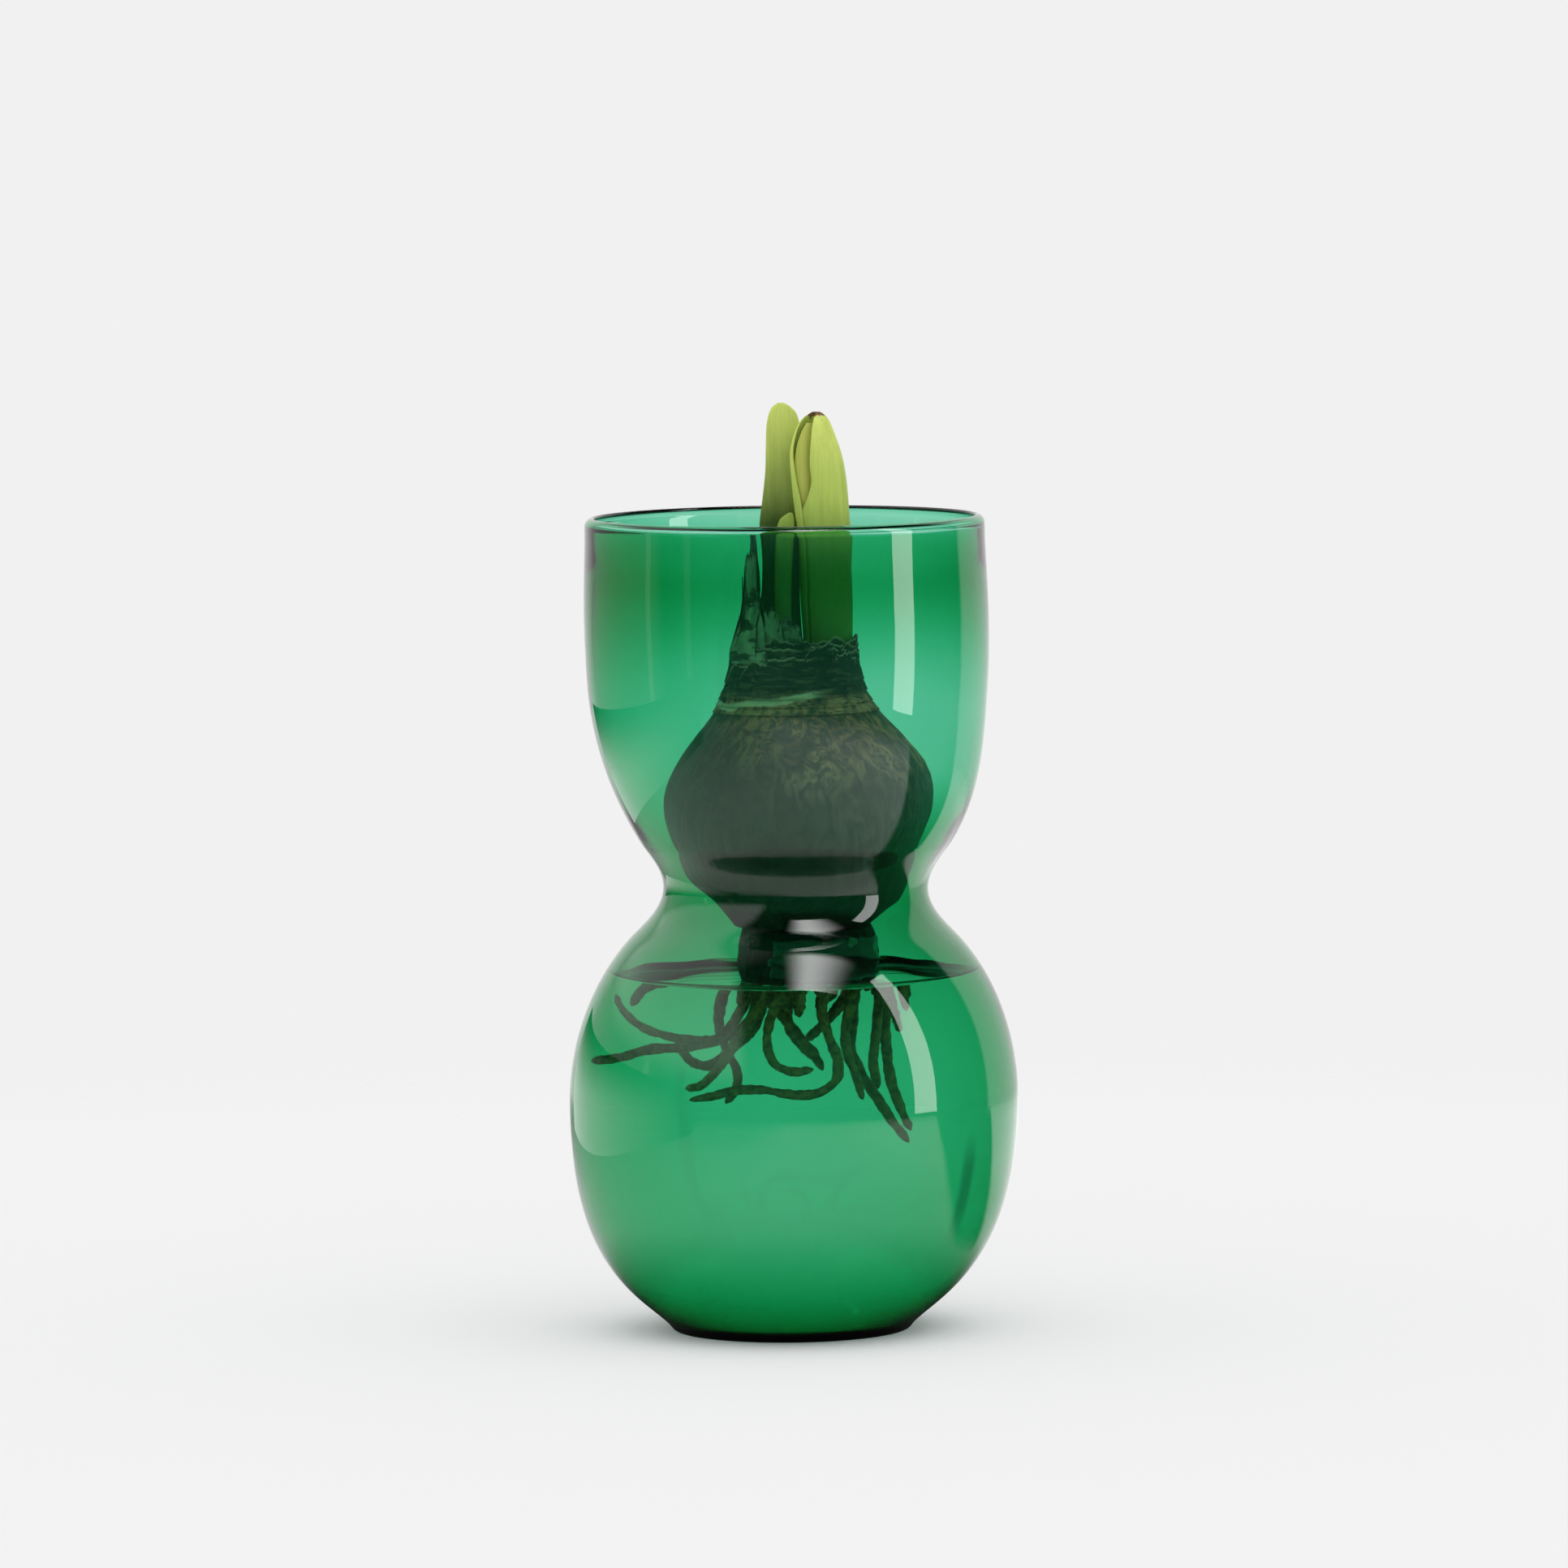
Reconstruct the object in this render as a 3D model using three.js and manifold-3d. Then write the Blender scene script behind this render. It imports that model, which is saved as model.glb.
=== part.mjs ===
import * as THREE from 'three';
import { mergeVertices } from 'three/addons/utils/BufferGeometryUtils.js';
import Module from 'manifold-3d';

// A mouth-blown glass vase for forcing one bulb. A cup stands on a pinched waist, and the waist on a globe
// of water. The bulb rests in the funnel above the waist, so that only its basal plate and roots get wet.
// Lengths are in millimetres and angles in degrees. +Z is up, and the vase stands on Z = 0 under its globe.

// Vase, outer wall: radii from the foot up, and the height from each change of the curve to the next
const contactRadius = 34;
const ringWidth = 8;
const puntDepth = 1.5;
const heelRadius = 36.6;
const heelHeight = 2.2;
const globeRadius = 66.1;
const heelToGlobe = 65.8;
const shoulderRadius = 49.4;
const globeToShoulder = 46.7;
const waistRadius = 39;
const shoulderToWaist = 16.1;
const funnelRadius = 45.7;
const waistToFunnel = 13.1;
const cupRadius = 59.5;
const funnelToCup = 67.1;
const mouthRadius = 58.9;
const cupToMouth = 20.8;
const rimRadius = 58.7;
const mouthToRim = 3.7;
const rimTurnRadius = 4.4;
const rimTurn = 80;

// Vase, how far its wall leans from upright at those places, and how strongly the curve holds each lean
const heelLean = 46;
const shoulderLean = -41;
const funnelLean = 32;
const mouthLean = -2;

// Vase, wall thickness at those places: glass gathers in the foot and a little at the waist, and the rim
// is thin. The thick foot fades out over a share of the way up to the globe
const floorThickness = 5.6;
const heelWall = 4.6;
const heelFadeShare = 0.5;
const globeWall = 2;
const shoulderWall = 2.1;
const waistWall = 2.5;
const funnelWall = 2.5;
const cupWall = 1.9;
const rimWall = 1.4;

// Vase, sideways wander of the hand-blown axis, zero at the globe
const footDrift = -1.4;
const shoulderDrift = 0.5;
const funnelDrift = 1.65;
const cupDrift = -0.55;
const rimDrift = -0.9;
const driftSettleShare = 0.68;

// Water in the globe, poured until the plate dips into it, and how far it climbs the wall
const plateDip = 2.03;
const waterGap = 0.3;
const meniscusRise = 2.4;
const meniscusReach = 6;
const meniscusShares = [[1, 0], [0.42, 0.2], [0.14, 0.5], [0, 1]];

// Bulb: rows of height, radius, sideways lean and depth, as shares of its length, radius, radius and width
const bulbRadius = 39.8;
const bulbLength = 84;
const bulbRowShares = [
  [0, 0.5, 0.03, 1.02], [0.05, 0.6, 0.05, 1.06], [0.1, 0.695, 0.06, 1.1], [0.15, 0.775, 0.03, 1.11],
  [0.2, 0.835, 0, 1.115], [0.27, 0.905, 0, 1.115], [0.34, 0.968, 0, 1.11], [0.42, 1, 0.01, 1.09],
  [0.5, 0.985, 0.023, 1.07],
  [0.58, 0.915, 0.034, 1.04], [0.66, 0.795, 0.026, 1.02], [0.74, 0.655, 0.01, 1.01],
  [0.84, 0.515, -0.012, 1], [0.93, 0.455, -0.015, 1], [1, 0.435, -0.012, 1],
];
const seatClearance = 0.45;

// Basal plate, the woody disc that the roots grow from, and a wet scale that clings to its front
const plateRadius = 21.3;
const plateLength = 17;
const plateOffset = 2.8;
const plateGap = 0.3;
const plateRowShares = [[0, 0.84], [0.12, 0.95], [0.45, 1], [0.8, 0.96], [1, 0.9]];
const plateRidgeShare = 0.035;
const wrapThickness = 1;
const wrapLength = 12.5;
const wrapRise = 3;
const wrapAngles = [-118, -22];

// Torn skin round the neck: a lower band, an upper band and a dry sheath that stands on the left
const skinGap = 0.4;
const lowerBandThickness = 1.6;
const lowerBandShares = [0.775, 0.925];
const upperBandThickness = 1.5;
const upperBandShares = [0.945, 1.03];
const upperBandAngles = [-138, 138];
const tearDepth = 1.6;
const sheathThickness = 0.9;
const sheathLength = 37;
const sheathRowShares = [[0, 1, 1], [0.2, 0.97, 0.95], [0.42, 0.86, 0.9], [0.52, 0.74, 0.78],
  [0.64, 0.64, 0.6], [0.85, 0.61, 0.52], [1, 0.58, 0.4]];
const sheathHalfAngle = 37;

// Leaves: width, thickness and place as shares of the neck's radius, and rows of height, sideways shift,
// width and thickness, as shares of height, width, width and thickness
const leafGap = 0.4;
const leftLeafHeight = 69.4;
const leftLeafWidthShare = 0.75;
const leftLeafThickShare = 0.266;
const leftLeafPlaceShares = [-0.295, 0.208];
const leftLeafRowShares = [
  [0, 0, 0.95, 1], [0.25, 0.07, 0.92, 1], [0.48, 0.11, 0.95, 1], [0.71, 0.21, 0.88, 0.95],
  [0.86, 0.2, 0.8, 0.85], [0.93, 0.16, 0.66, 0.75], [0.98, 0.12, 0.4, 0.6], [1, 0.12, 0.14, 0.3],
];
const smallLeafHeight = 37.8;
const smallLeafWidthShare = 0.3;
const smallLeafThickShare = 0.127;
const smallLeafPlaceShares = [-0.208, -0.15];
const smallLeafRowShares = [[0, 0, 1, 1], [0.5, 0.05, 1, 1], [0.82, 0.12, 0.85, 0.9], [0.95, 0.22, 0.5, 0.7],
  [1, 0.3, 0.16, 0.4]];
const rightLeafHeight = 66.8;
const rightLeafWidthShare = 0.936;
const rightLeafThickShare = 0.606;
const rightLeafPlaceShares = [0.575, -0.196];
const rightLeafRowShares = [
  [0, 0, 0.83, 0.9], [0.24, -0.04, 0.94, 1], [0.44, -0.04, 0.99, 1], [0.58, -0.09, 0.98, 1],
  [0.71, -0.14, 1, 1], [0.8, -0.19, 0.96, 0.95], [0.9, -0.21, 0.73, 0.8], [0.95, -0.22, 0.52, 0.65],
  [1, -0.2, 0.18, 0.4],
];
const leafCurlShare = 0.35;

// Slit down the front of the right leaf, which shows the inner leaf that it wraps
const slitWidthShare = 0.284;
const slitDepthShare = 0.38;
const slitPlaceShares = [-0.36, -0.32];
const slitRowShares = [[0.56, 0, 0.2], [0.66, 0, 0.62], [0.76, 0.02, 0.9], [0.86, 0.1, 1], [0.93, 0.24, 0.7],
  [0.97, 0.34, 0.25]];
const innerLeafShares = [0.4, 0.55];
const innerLeafRowShares = [[0.6, 0, 0.3], [0.68, 0, 0.8], [0.76, 0.03, 1], [0.84, 0.1, 0.7],
  [0.88, 0.14, 0.3]];

// Roots: radius and taper, how far they reach sideways and down, and their routes from under the plate,
// as shares of that reach and depth
const rootRadius = 1.2;
const rootTaperShare = 0.3;
const rootReach = 50;
const rootDepth = 50;
const rootGap = 0.3;
const rootRouteShares = {
  left_upper: [[-0.25, -0.15, 0], [-0.3, -0.2, -0.15], [-0.37, -0.24, -0.27], [-0.47, -0.32, -0.34],
    [-0.68, -0.36, -0.32], [-0.87, -0.36, -0.25], [-0.98, -0.32, -0.16], [-1.04, -0.26, -0.07]],
  left_lower: [[-0.21, 0.03, 0], [-0.24, 0.04, -0.17], [-0.28, 0.04, -0.32], [-0.4, 0.06, -0.4],
    [-0.56, 0.08, -0.44], [-0.73, 0.06, -0.45], [-0.89, 0.04, -0.48], [-1.06, 0, -0.48]],
  left_hook: [[-0.14, 0.2, 0], [-0.19, 0.26, -0.2], [-0.25, 0.28, -0.38], [-0.35, 0.28, -0.49],
    [-0.45, 0.24, -0.55], [-0.53, 0.2, -0.52], [-0.6, 0.16, -0.42]],
  left_diagonal: [[-0.17, -0.27, 0], [-0.22, -0.35, -0.13], [-0.3, -0.42, -0.24], [-0.38, -0.44, -0.35],
    [-0.46, -0.44, -0.47], [-0.55, -0.41, -0.56], [-0.62, -0.36, -0.58]],
  left_straight: [[-0.33, -0.04, 0], [-0.4, -0.08, -0.14], [-0.43, -0.08, -0.28], [-0.4, -0.12, -0.42],
    [-0.35, -0.14, -0.52], [-0.35, -0.14, -0.6], [-0.4, -0.13, -0.68]],
  long_bow: [[0.11, -0.21, 0], [0.05, -0.28, -0.18], [0.08, -0.33, -0.32], [0.12, -0.33, -0.45],
    [0.11, -0.33, -0.55], [0.03, -0.33, -0.61], [-0.1, -0.31, -0.62], [-0.23, -0.29, -0.6],
    [-0.36, -0.28, -0.6], [-0.48, -0.27, -0.63], [-0.59, -0.26, -0.65]],
  front_loop: [[-0.04, -0.31, 0], [-0.17, -0.4, -0.16], [-0.22, -0.46, -0.32], [-0.19, -0.46, -0.44],
    [-0.1, -0.45, -0.49], [0.01, -0.44, -0.48]],
  middle_short: [[-0.04, 0.1, 0], [-0.1, 0.11, -0.18], [-0.11, 0.1, -0.33], [-0.05, 0.09, -0.44],
    [0.01, 0.07, -0.5], [0.04, 0.05, -0.55]],
  right_straight: [[0.28, 0.08, 0], [0.31, 0.08, -0.13], [0.29, 0.08, -0.28], [0.27, 0.08, -0.42],
    [0.26, 0.08, -0.53], [0.28, 0.08, -0.64]],
  right_deep: [[0.15, 0.24, 0], [0.17, 0.25, -0.16], [0.16, 0.25, -0.34], [0.15, 0.25, -0.48],
    [0.2, 0.25, -0.6], [0.26, 0.25, -0.71], [0.32, 0.25, -0.81], [0.39, 0.24, -0.91]],
  right_front: [[0.24, -0.15, 0], [0.2, -0.22, -0.15], [0.16, -0.23, -0.3], [0.16, -0.23, -0.42],
    [0.2, -0.23, -0.54], [0.23, -0.23, -0.66]],
  right_short: [[0.34, -0.06, 0], [0.36, -0.1, -0.14], [0.39, -0.12, -0.26], [0.41, -0.12, -0.34]],
  surface_left: [[-0.28, 0.17, 0], [-0.38, 0.27, -0.1], [-0.5, 0.32, -0.16], [-0.61, 0.32, -0.19],
    [-0.71, 0.28, -0.21], [-0.78, 0.24, -0.28]],
  front_cross: [[-0.14, -0.1, 0], [-0.22, -0.15, -0.1], [-0.18, -0.19, -0.2], [-0.09, -0.18, -0.31],
    [-0.03, -0.15, -0.4], [0.03, -0.14, -0.46]],
  middle_cross: [[0.15, 0, 0], [0.17, -0.02, -0.14], [0.11, -0.03, -0.25], [0.03, -0.04, -0.34],
    [-0.03, -0.02, -0.4]],
  right_fork: [[0.22, 0.22, 0], [0.3, 0.2, -0.22], [0.31, 0.17, -0.45], [0.33, 0.15, -0.62],
    [0.37, 0.13, -0.74], [0.42, 0.09, -0.84]],
};

// Facets
const vaseSides = 36;
const bulbSides = 32;
const plateSides = 24;
const leafSides = 12;
const rootSides = 6;
const rootStepsPerPoint = 1.5;

const glassGreen = new THREE.MeshStandardMaterial({
  color: 0x1f9a63, roughness: 0.03, metalness: 0, transparent: true, opacity: 0.4,
});
const clearWater = new THREE.MeshStandardMaterial({
  color: 0xbfe3d3, roughness: 0.02, metalness: 0, transparent: true, opacity: 0.25,
});
const bulbSkin = new THREE.MeshStandardMaterial({ color: 0x8a6a3c, roughness: 0.7, metalness: 0 });
const tornSkin = new THREE.MeshStandardMaterial({ color: 0x4a3420, roughness: 0.85, metalness: 0 });
const wetScale = new THREE.MeshStandardMaterial({ color: 0x2a2a22, roughness: 0.2, metalness: 0 });
const plateWood = new THREE.MeshStandardMaterial({ color: 0x3a3222, roughness: 0.8, metalness: 0 });
const leafGreen = new THREE.MeshStandardMaterial({ color: 0xa9bf6a, roughness: 0.5, metalness: 0 });
const innerLeafGreen = new THREE.MeshStandardMaterial({ color: 0xb7c46c, roughness: 0.5, metalness: 0 });
const rootFlesh = new THREE.MeshStandardMaterial({ color: 0x8f8a5c, roughness: 0.7, metalness: 0 });

const radians = THREE.MathUtils.degToRad;

// Stations of the outer wall: place, lean, pull of the lean on the curve below and above, and wall thickness
const heelTop = heelHeight;
const globeMiddle = heelTop + heelToGlobe;
const shoulderTop = globeMiddle + globeToShoulder;
const waistMiddle = shoulderTop + shoulderToWaist;
const funnelTop = waistMiddle + waistToFunnel;
const cupMiddle = funnelTop + funnelToCup;
const mouthTop = cupMiddle + cupToMouth;
const rimBase = mouthTop + mouthToRim;
const stations = [
  { radius: heelRadius, height: heelTop, lean: heelLean, below: 0, above: 0.17, wall: heelWall, steps: 0 },
  { radius: globeRadius, height: globeMiddle, lean: 0, below: 0.67, above: 0.3, wall: globeWall,
    fade: heelFadeShare, steps: 6 },
  { radius: shoulderRadius, height: shoulderTop, lean: shoulderLean, below: 0.37, above: 0.33,
    wall: shoulderWall, steps: 5 },
  { radius: waistRadius, height: waistMiddle, lean: 0, below: 0.36, above: 0.37, wall: waistWall, steps: 4 },
  { radius: funnelRadius, height: funnelTop, lean: funnelLean, below: 0.21, above: 0.31, wall: funnelWall,
    steps: 3 },
  { radius: cupRadius, height: cupMiddle, lean: 0, below: 0.41, above: 0.3, wall: cupWall, steps: 5 },
  { radius: mouthRadius, height: mouthTop, lean: mouthLean, below: 0.3, above: 0.3, wall: cupWall, steps: 2 },
  { radius: rimRadius, height: rimBase, lean: mouthLean, below: 0.3, above: 0, wall: rimWall, steps: 1 },
];

// Rises smoothly from 0 to 1
function ease(share) {
  return share * share * (3 - 2 * share);
}

// A direction that leans outward from upright by an angle
function leaning(lean) {
  return new THREE.Vector2(Math.sin(radians(lean)), Math.cos(radians(lean)));
}

// A smooth curve between two stations, which leaves and arrives at their leans
function stretch(from, to) {
  const start = new THREE.Vector2(from.radius, from.height);
  const end = new THREE.Vector2(to.radius, to.height);
  const chord = start.distanceTo(end);
  const leave = start.clone().addScaledVector(leaning(from.lean), chord * from.above);
  const arrive = end.clone().addScaledVector(leaning(to.lean), -chord * to.below);
  return new THREE.CubicBezierCurve(start, leave, arrive, end);
}

// Points of the wall from the heel to the lip, moved in from the outer face by a share of the thickness
function wallPoints(depthShare, extraDepth) {
  const points = [];
  stations.forEach((station, index) => {
    if (index === 0) return;
    const below = stations[index - 1];
    const curve = stretch(below, station);
    for (let step = index === 1 ? 0 : 1; step <= station.steps; step += 1) {
      const share = step / station.steps;
      const faded = Math.min(share / (station.fade ?? 1), 1);
      const wall = THREE.MathUtils.lerp(below.wall, station.wall, ease(faded));
      const tangent = curve.getTangent(share);
      const inward = new THREE.Vector2(-tangent.y, tangent.x);
      points.push(curve.getPoint(share).addScaledVector(inward, wall * depthShare + extraDepth));
    }
  });
  return points;
}

// The floor of the globe, from the axis to the foot of the inner wall
function floorPoints(wallStart, extraDepth) {
  const centre = { radius: 0, height: floorThickness + extraDepth, lean: 90, above: 0.5 };
  const edge = { radius: wallStart.x, height: wallStart.y, lean: heelLean, below: 0.15 };
  return stretch(centre, edge).getPoints(4).slice(0, -1);
}

// The underside: a shallow punt, the flat ring that the vase stands on, and the rounded heel
function footPoints() {
  const ringInner = contactRadius - ringWidth;
  const middle = { radius: 0, height: puntDepth, lean: 90, above: 0.4 };
  const inner = { radius: ringInner, height: 0, lean: 90, below: 0.3 };
  const outer = { radius: contactRadius, height: 0, lean: 90, above: 0.35 };
  const heel = { radius: heelRadius, height: heelHeight, lean: heelLean, below: 0.35 };
  const punt = stretch(middle, inner).getPoints(3);
  const heelCurve = stretch(outer, heel).getPoints(3).slice(0, -1);
  return [...punt, ...heelCurve];
}

// The thin rim, which turns inward over the mouth and ends in a rounded edge
function rimPoints() {
  const turnCentre = new THREE.Vector2(rimRadius - rimTurnRadius, rimBase);
  const at = (centre, radius, angle) => (
    new THREE.Vector2(centre.x + radius * Math.cos(angle), centre.y + radius * Math.sin(angle)));
  const full = radians(rimTurn);
  const edge = at(turnCentre, rimTurnRadius - rimWall / 2, full);
  const steps = 3;
  const outer = [];
  const inner = [];
  for (let step = 1; step <= steps; step += 1) {
    outer.push(at(turnCentre, rimTurnRadius, full * step / steps));
    inner.unshift(at(turnCentre, rimTurnRadius - rimWall, full * step / steps));
  }
  return [...outer, at(edge, rimWall / 2, full + Math.PI / 2), ...inner];
}

// Sideways place of the axis at a height
const driftPlaces = [
  [0, footDrift],
  [globeMiddle, 0],
  [shoulderTop, shoulderDrift],
  [funnelTop, funnelDrift],
  [funnelTop + funnelToCup * driftSettleShare, cupDrift],
  [rimBase, rimDrift],
];
function drift(height) {
  const next = driftPlaces.findIndex(([place]) => place > height);
  if (next === 0) return footDrift;
  if (next < 0) return rimDrift;
  const [low, lowDrift] = driftPlaces[next - 1];
  const [high, highDrift] = driftPlaces[next];
  return THREE.MathUtils.lerp(lowDrift, highDrift, ease((height - low) / (high - low)));
}

// A closed profile turned about the vase's wandering axis
function turned(profile) {
  const geometry = new THREE.LatheGeometry(profile, vaseSides);
  geometry.rotateX(Math.PI / 2);
  const position = geometry.getAttribute('position');
  for (let index = 0; index < position.count; index += 1) {
    position.setX(index, position.getX(index) + drift(position.getZ(index)));
  }
  return bare(geometry);
}

// Only positions, with the vertices along seams and poles merged
function bare(geometry) {
  geometry.deleteAttribute('normal');
  geometry.deleteAttribute('uv');
  const merged = mergeVertices(geometry);
  merged.computeVertexNormals();
  return merged;
}

// A closed solid through rings of equally many points; the rings either end in caps or meet again
function loft(rings, meets = false) {
  const sides = rings[0].length;
  const positions = rings.flat().flatMap((point) => [point.x, point.y, point.z]);
  const faces = [];
  const last = meets ? rings.length : rings.length - 1;
  for (let ring = 0; ring < last; ring += 1) {
    for (let side = 0; side < sides; side += 1) {
      const a = ring * sides + side;
      const b = ring * sides + (side + 1) % sides;
      const c = (ring + 1) % rings.length * sides + side;
      const d = (ring + 1) % rings.length * sides + (side + 1) % sides;
      faces.push(a, b, d, a, d, c);
    }
  }
  if (!meets) {
    [rings[0], rings[rings.length - 1]].forEach((ring, end) => {
      const centre = new THREE.Vector3();
      ring.forEach((point) => centre.addScaledVector(point, 1 / sides));
      const middle = positions.length / 3;
      const first = end === 0 ? 0 : (rings.length - 1) * sides;
      positions.push(centre.x, centre.y, centre.z);
      for (let side = 0; side < sides; side += 1) {
        const here = first + side;
        const next = first + (side + 1) % sides;
        faces.push(...(end === 0 ? [middle, next, here] : [middle, here, next]));
      }
    });
  }
  const geometry = new THREE.BufferGeometry();
  geometry.setAttribute('position', new THREE.Float32BufferAttribute(positions, 3));
  geometry.setIndex(faces);
  geometry.computeVertexNormals();
  return geometry;
}

// A level ring about a place, with the radius that a function gives for each angle
function levelRing(x, y, z, sides, radiusAt) {
  const ring = [];
  for (let side = 0; side < sides; side += 1) {
    const turn = 2 * Math.PI * side / sides;
    const radius = radiusAt(turn);
    ring.push(new THREE.Vector3(x + radius * Math.cos(turn), y + radius * Math.sin(turn), z));
  }
  return ring;
}

const outerWall = wallPoints(0, 0);
const innerWall = wallPoints(1, 0);

function vaseGeometry() {
  const profile = [
    ...footPoints(),
    ...outerWall,
    ...rimPoints(),
    ...innerWall.slice().reverse(),
    ...floorPoints(innerWall[0], 0).reverse(),
  ];
  return turned(profile);
}

// The part of a wall below a height, ended on that height
function below(points, height) {
  const kept = points.filter((point) => point.y < height);
  const low = kept[kept.length - 1];
  const high = points[kept.length];
  return [...kept, low.clone().lerp(high, (height - low.y) / (high.y - low.y))];
}

function waterGeometry() {
  const wall = below(wallPoints(1, waterGap), waterLevel + meniscusRise);
  const contact = wall[wall.length - 1];
  const surface = meniscusShares.slice(1).map(([rise, reach]) => (
    new THREE.Vector2(contact.x - meniscusReach * reach, waterLevel + meniscusRise * rise)));
  const profile = [...floorPoints(wall[0], waterGap), ...wall, ...surface, new THREE.Vector2(0, waterLevel)];
  return turned(profile);
}

// The bulb's radius, sideways lean and depth at a share of its length
function bulbRow(heightShare) {
  const next = bulbRowShares.findIndex(([share]) => share > heightShare);
  const high = bulbRowShares[next < 0 ? bulbRowShares.length - 1 : Math.max(next, 1)];
  const low = bulbRowShares[bulbRowShares.indexOf(high) - 1];
  const along = (Math.min(heightShare, 1) - low[0]) / (high[0] - low[0]);
  const [radius, lean, depth] = [1, 2, 3].map((column) => (
    THREE.MathUtils.lerp(low[column], high[column], along)));
  return { radius: bulbRadius * radius, lean: bulbRadius * lean, depth };
}

// The bulb is round across the view and deeper along it
function bulbRadiusAt(row, turn) {
  return row.radius * (1 + (row.depth - 1) * Math.sin(turn) ** 2);
}

// Least distance of the bulb's outline from the inner wall, negative where it would cut in
function seatGap(base) {
  const axis = drift(funnelTop);
  const gaps = bulbRowShares.map(([heightShare]) => {
    const row = bulbRow(heightShare);
    const height = base + bulbLength * heightShare;
    const radius = bulbRadiusAt(row, Math.PI / 2);
    let nearest = Infinity;
    let side = 1;
    for (let index = 1; index < innerWall.length; index += 1) {
      const start = innerWall[index - 1];
      const run = innerWall[index].clone().sub(start);
      const apart = new THREE.Vector2(radius, height).sub(start);
      const share = THREE.MathUtils.clamp(apart.dot(run) / run.lengthSq(), 0, 1);
      apart.addScaledVector(run, -share);
      if (apart.length() < nearest) {
        nearest = apart.length();
        side = Math.sign(apart.dot(new THREE.Vector2(-run.y, run.x)));
      }
    }
    return nearest * side - Math.abs(drift(height) - axis);
  });
  return Math.min(...gaps);
}

// The height of the bulb's base at which it rests in the funnel
function seatHeight() {
  let high = cupMiddle - bulbLength / 2;
  let low = shoulderTop - bulbLength / 2;
  for (let halving = 0; halving < 20; halving += 1) {
    const middle = (low + high) / 2;
    if (seatGap(middle) > seatClearance) high = middle;
    else low = middle;
  }
  return high;
}

const bulbBase = seatHeight();
const bulbAxis = drift(funnelTop);
const noseTop = bulbBase + bulbLength;
const neckRadius = bulbRow(1).radius;
const plateTop = bulbBase - plateGap;
const plateBottom = plateTop - plateLength;
const plateAxis = bulbAxis + plateOffset;
const waterLevel = plateBottom + plateDip;

function bulbGeometry() {
  const rings = bulbRowShares.map(([heightShare]) => {
    const row = bulbRow(heightShare);
    return levelRing(bulbAxis + row.lean, 0, bulbBase + bulbLength * heightShare, bulbSides,
      (turn) => bulbRadiusAt(row, turn));
  });
  return loft(rings);
}

function plateRings(extra) {
  return plateRowShares.map(([heightShare, radiusShare], row) => {
    const bottom = row === 0 ? -extra : 0;
    return levelRing(plateAxis, 0, plateBottom + plateLength * heightShare + bottom, plateSides, (turn) => (
      plateRadius * (radiusShare - plateRidgeShare * (1 + Math.sin(5 * turn + row)) / 2) + extra));
  });
}

function plateGeometry() {
  return loft(plateRings(0));
}

// The upright section of a band of skin at an angle: in side up, out side down
function bandSection(turn, levels, thickness, axis) {
  const outward = new THREE.Vector2(Math.cos(turn), Math.sin(turn));
  const place = ({ radius, height, lean }) => (
    new THREE.Vector3(axis + lean + radius * outward.x, radius * outward.y, height));
  const outer = levels.map((level) => place({ ...level, radius: level.radius + thickness })).reverse();
  const inner = levels.map(place);
  return [...inner, ...outer];
}

function bandGeometry(angles, levelsAt, thickness, axis) {
  const [from, to] = angles.map(radians);
  const whole = to - from >= 2 * Math.PI;
  const count = whole ? bulbSides : Math.ceil(bulbSides * (to - from) / (2 * Math.PI)) + 1;
  const sections = [];
  for (let step = 0; step < count; step += 1) {
    const turn = from + (to - from) * step / (whole ? count : count - 1);
    sections.push(bandSection(turn, levelsAt(turn), thickness, axis));
  }
  return loft(sections, whole);
}

// Levels of a band that lies on the bulb between two shares of its length, with a torn top edge
function skinLevels(turn, [lowShare, highShare]) {
  const steps = 2;
  const levels = [];
  for (let step = 0; step <= steps; step += 1) {
    const share = lowShare + (highShare - lowShare) * step / steps;
    const row = bulbRow(share);
    const tear = step === steps ? tearDepth * (Math.sin(7 * turn) + Math.sin(4 * turn + 1)) / 4 : 0;
    levels.push({
      radius: bulbRadiusAt(row, turn) + skinGap,
      height: bulbBase + bulbLength * share + tear,
      lean: row.lean,
    });
  }
  return levels;
}

// The wet scale round the front of the plate, or with extra the room that it needs
function wrapGeometry(extra) {
  const levels = [0, 0.35, 0.7, 1].map((share) => ({
    radius: plateRadius + skinGap - extra,
    height: plateBottom + wrapRise + wrapLength * share + extra * (2 * share - 1),
    lean: 0,
  }));
  const widen = THREE.MathUtils.radToDeg(extra / plateRadius);
  const angles = [wrapAngles[0] - widen, wrapAngles[1] + widen];
  return bandGeometry(angles, () => levels, wrapThickness + 2 * extra, plateAxis);
}

function sheathGeometry() {
  const row = bulbRow(upperBandShares[0]);
  const bottom = bulbBase + bulbLength * upperBandShares[0];
  const axis = bulbAxis + row.lean;
  const sheathRadius = row.radius + skinGap;
  const columns = 7;
  const sections = [];
  for (let column = 0; column < columns; column += 1) {
    const aside = 2 * column / (columns - 1) - 1;
    const outer = [];
    const inner = [];
    sheathRowShares.forEach(([heightShare, radiusShare, angleShare]) => {
      const turn = Math.PI + radians(sheathHalfAngle) * angleShare * aside;
      const radius = sheathRadius * radiusShare;
      const height = bottom + sheathLength * heightShare;
      const point = (far) => new THREE.Vector3(axis + far * Math.cos(turn), far * Math.sin(turn), height);
      inner.push(point(radius));
      outer.unshift(point(radius + sheathThickness));
    });
    sections.push([...inner, ...outer]);
  }
  return loft(sections);
}

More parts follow.
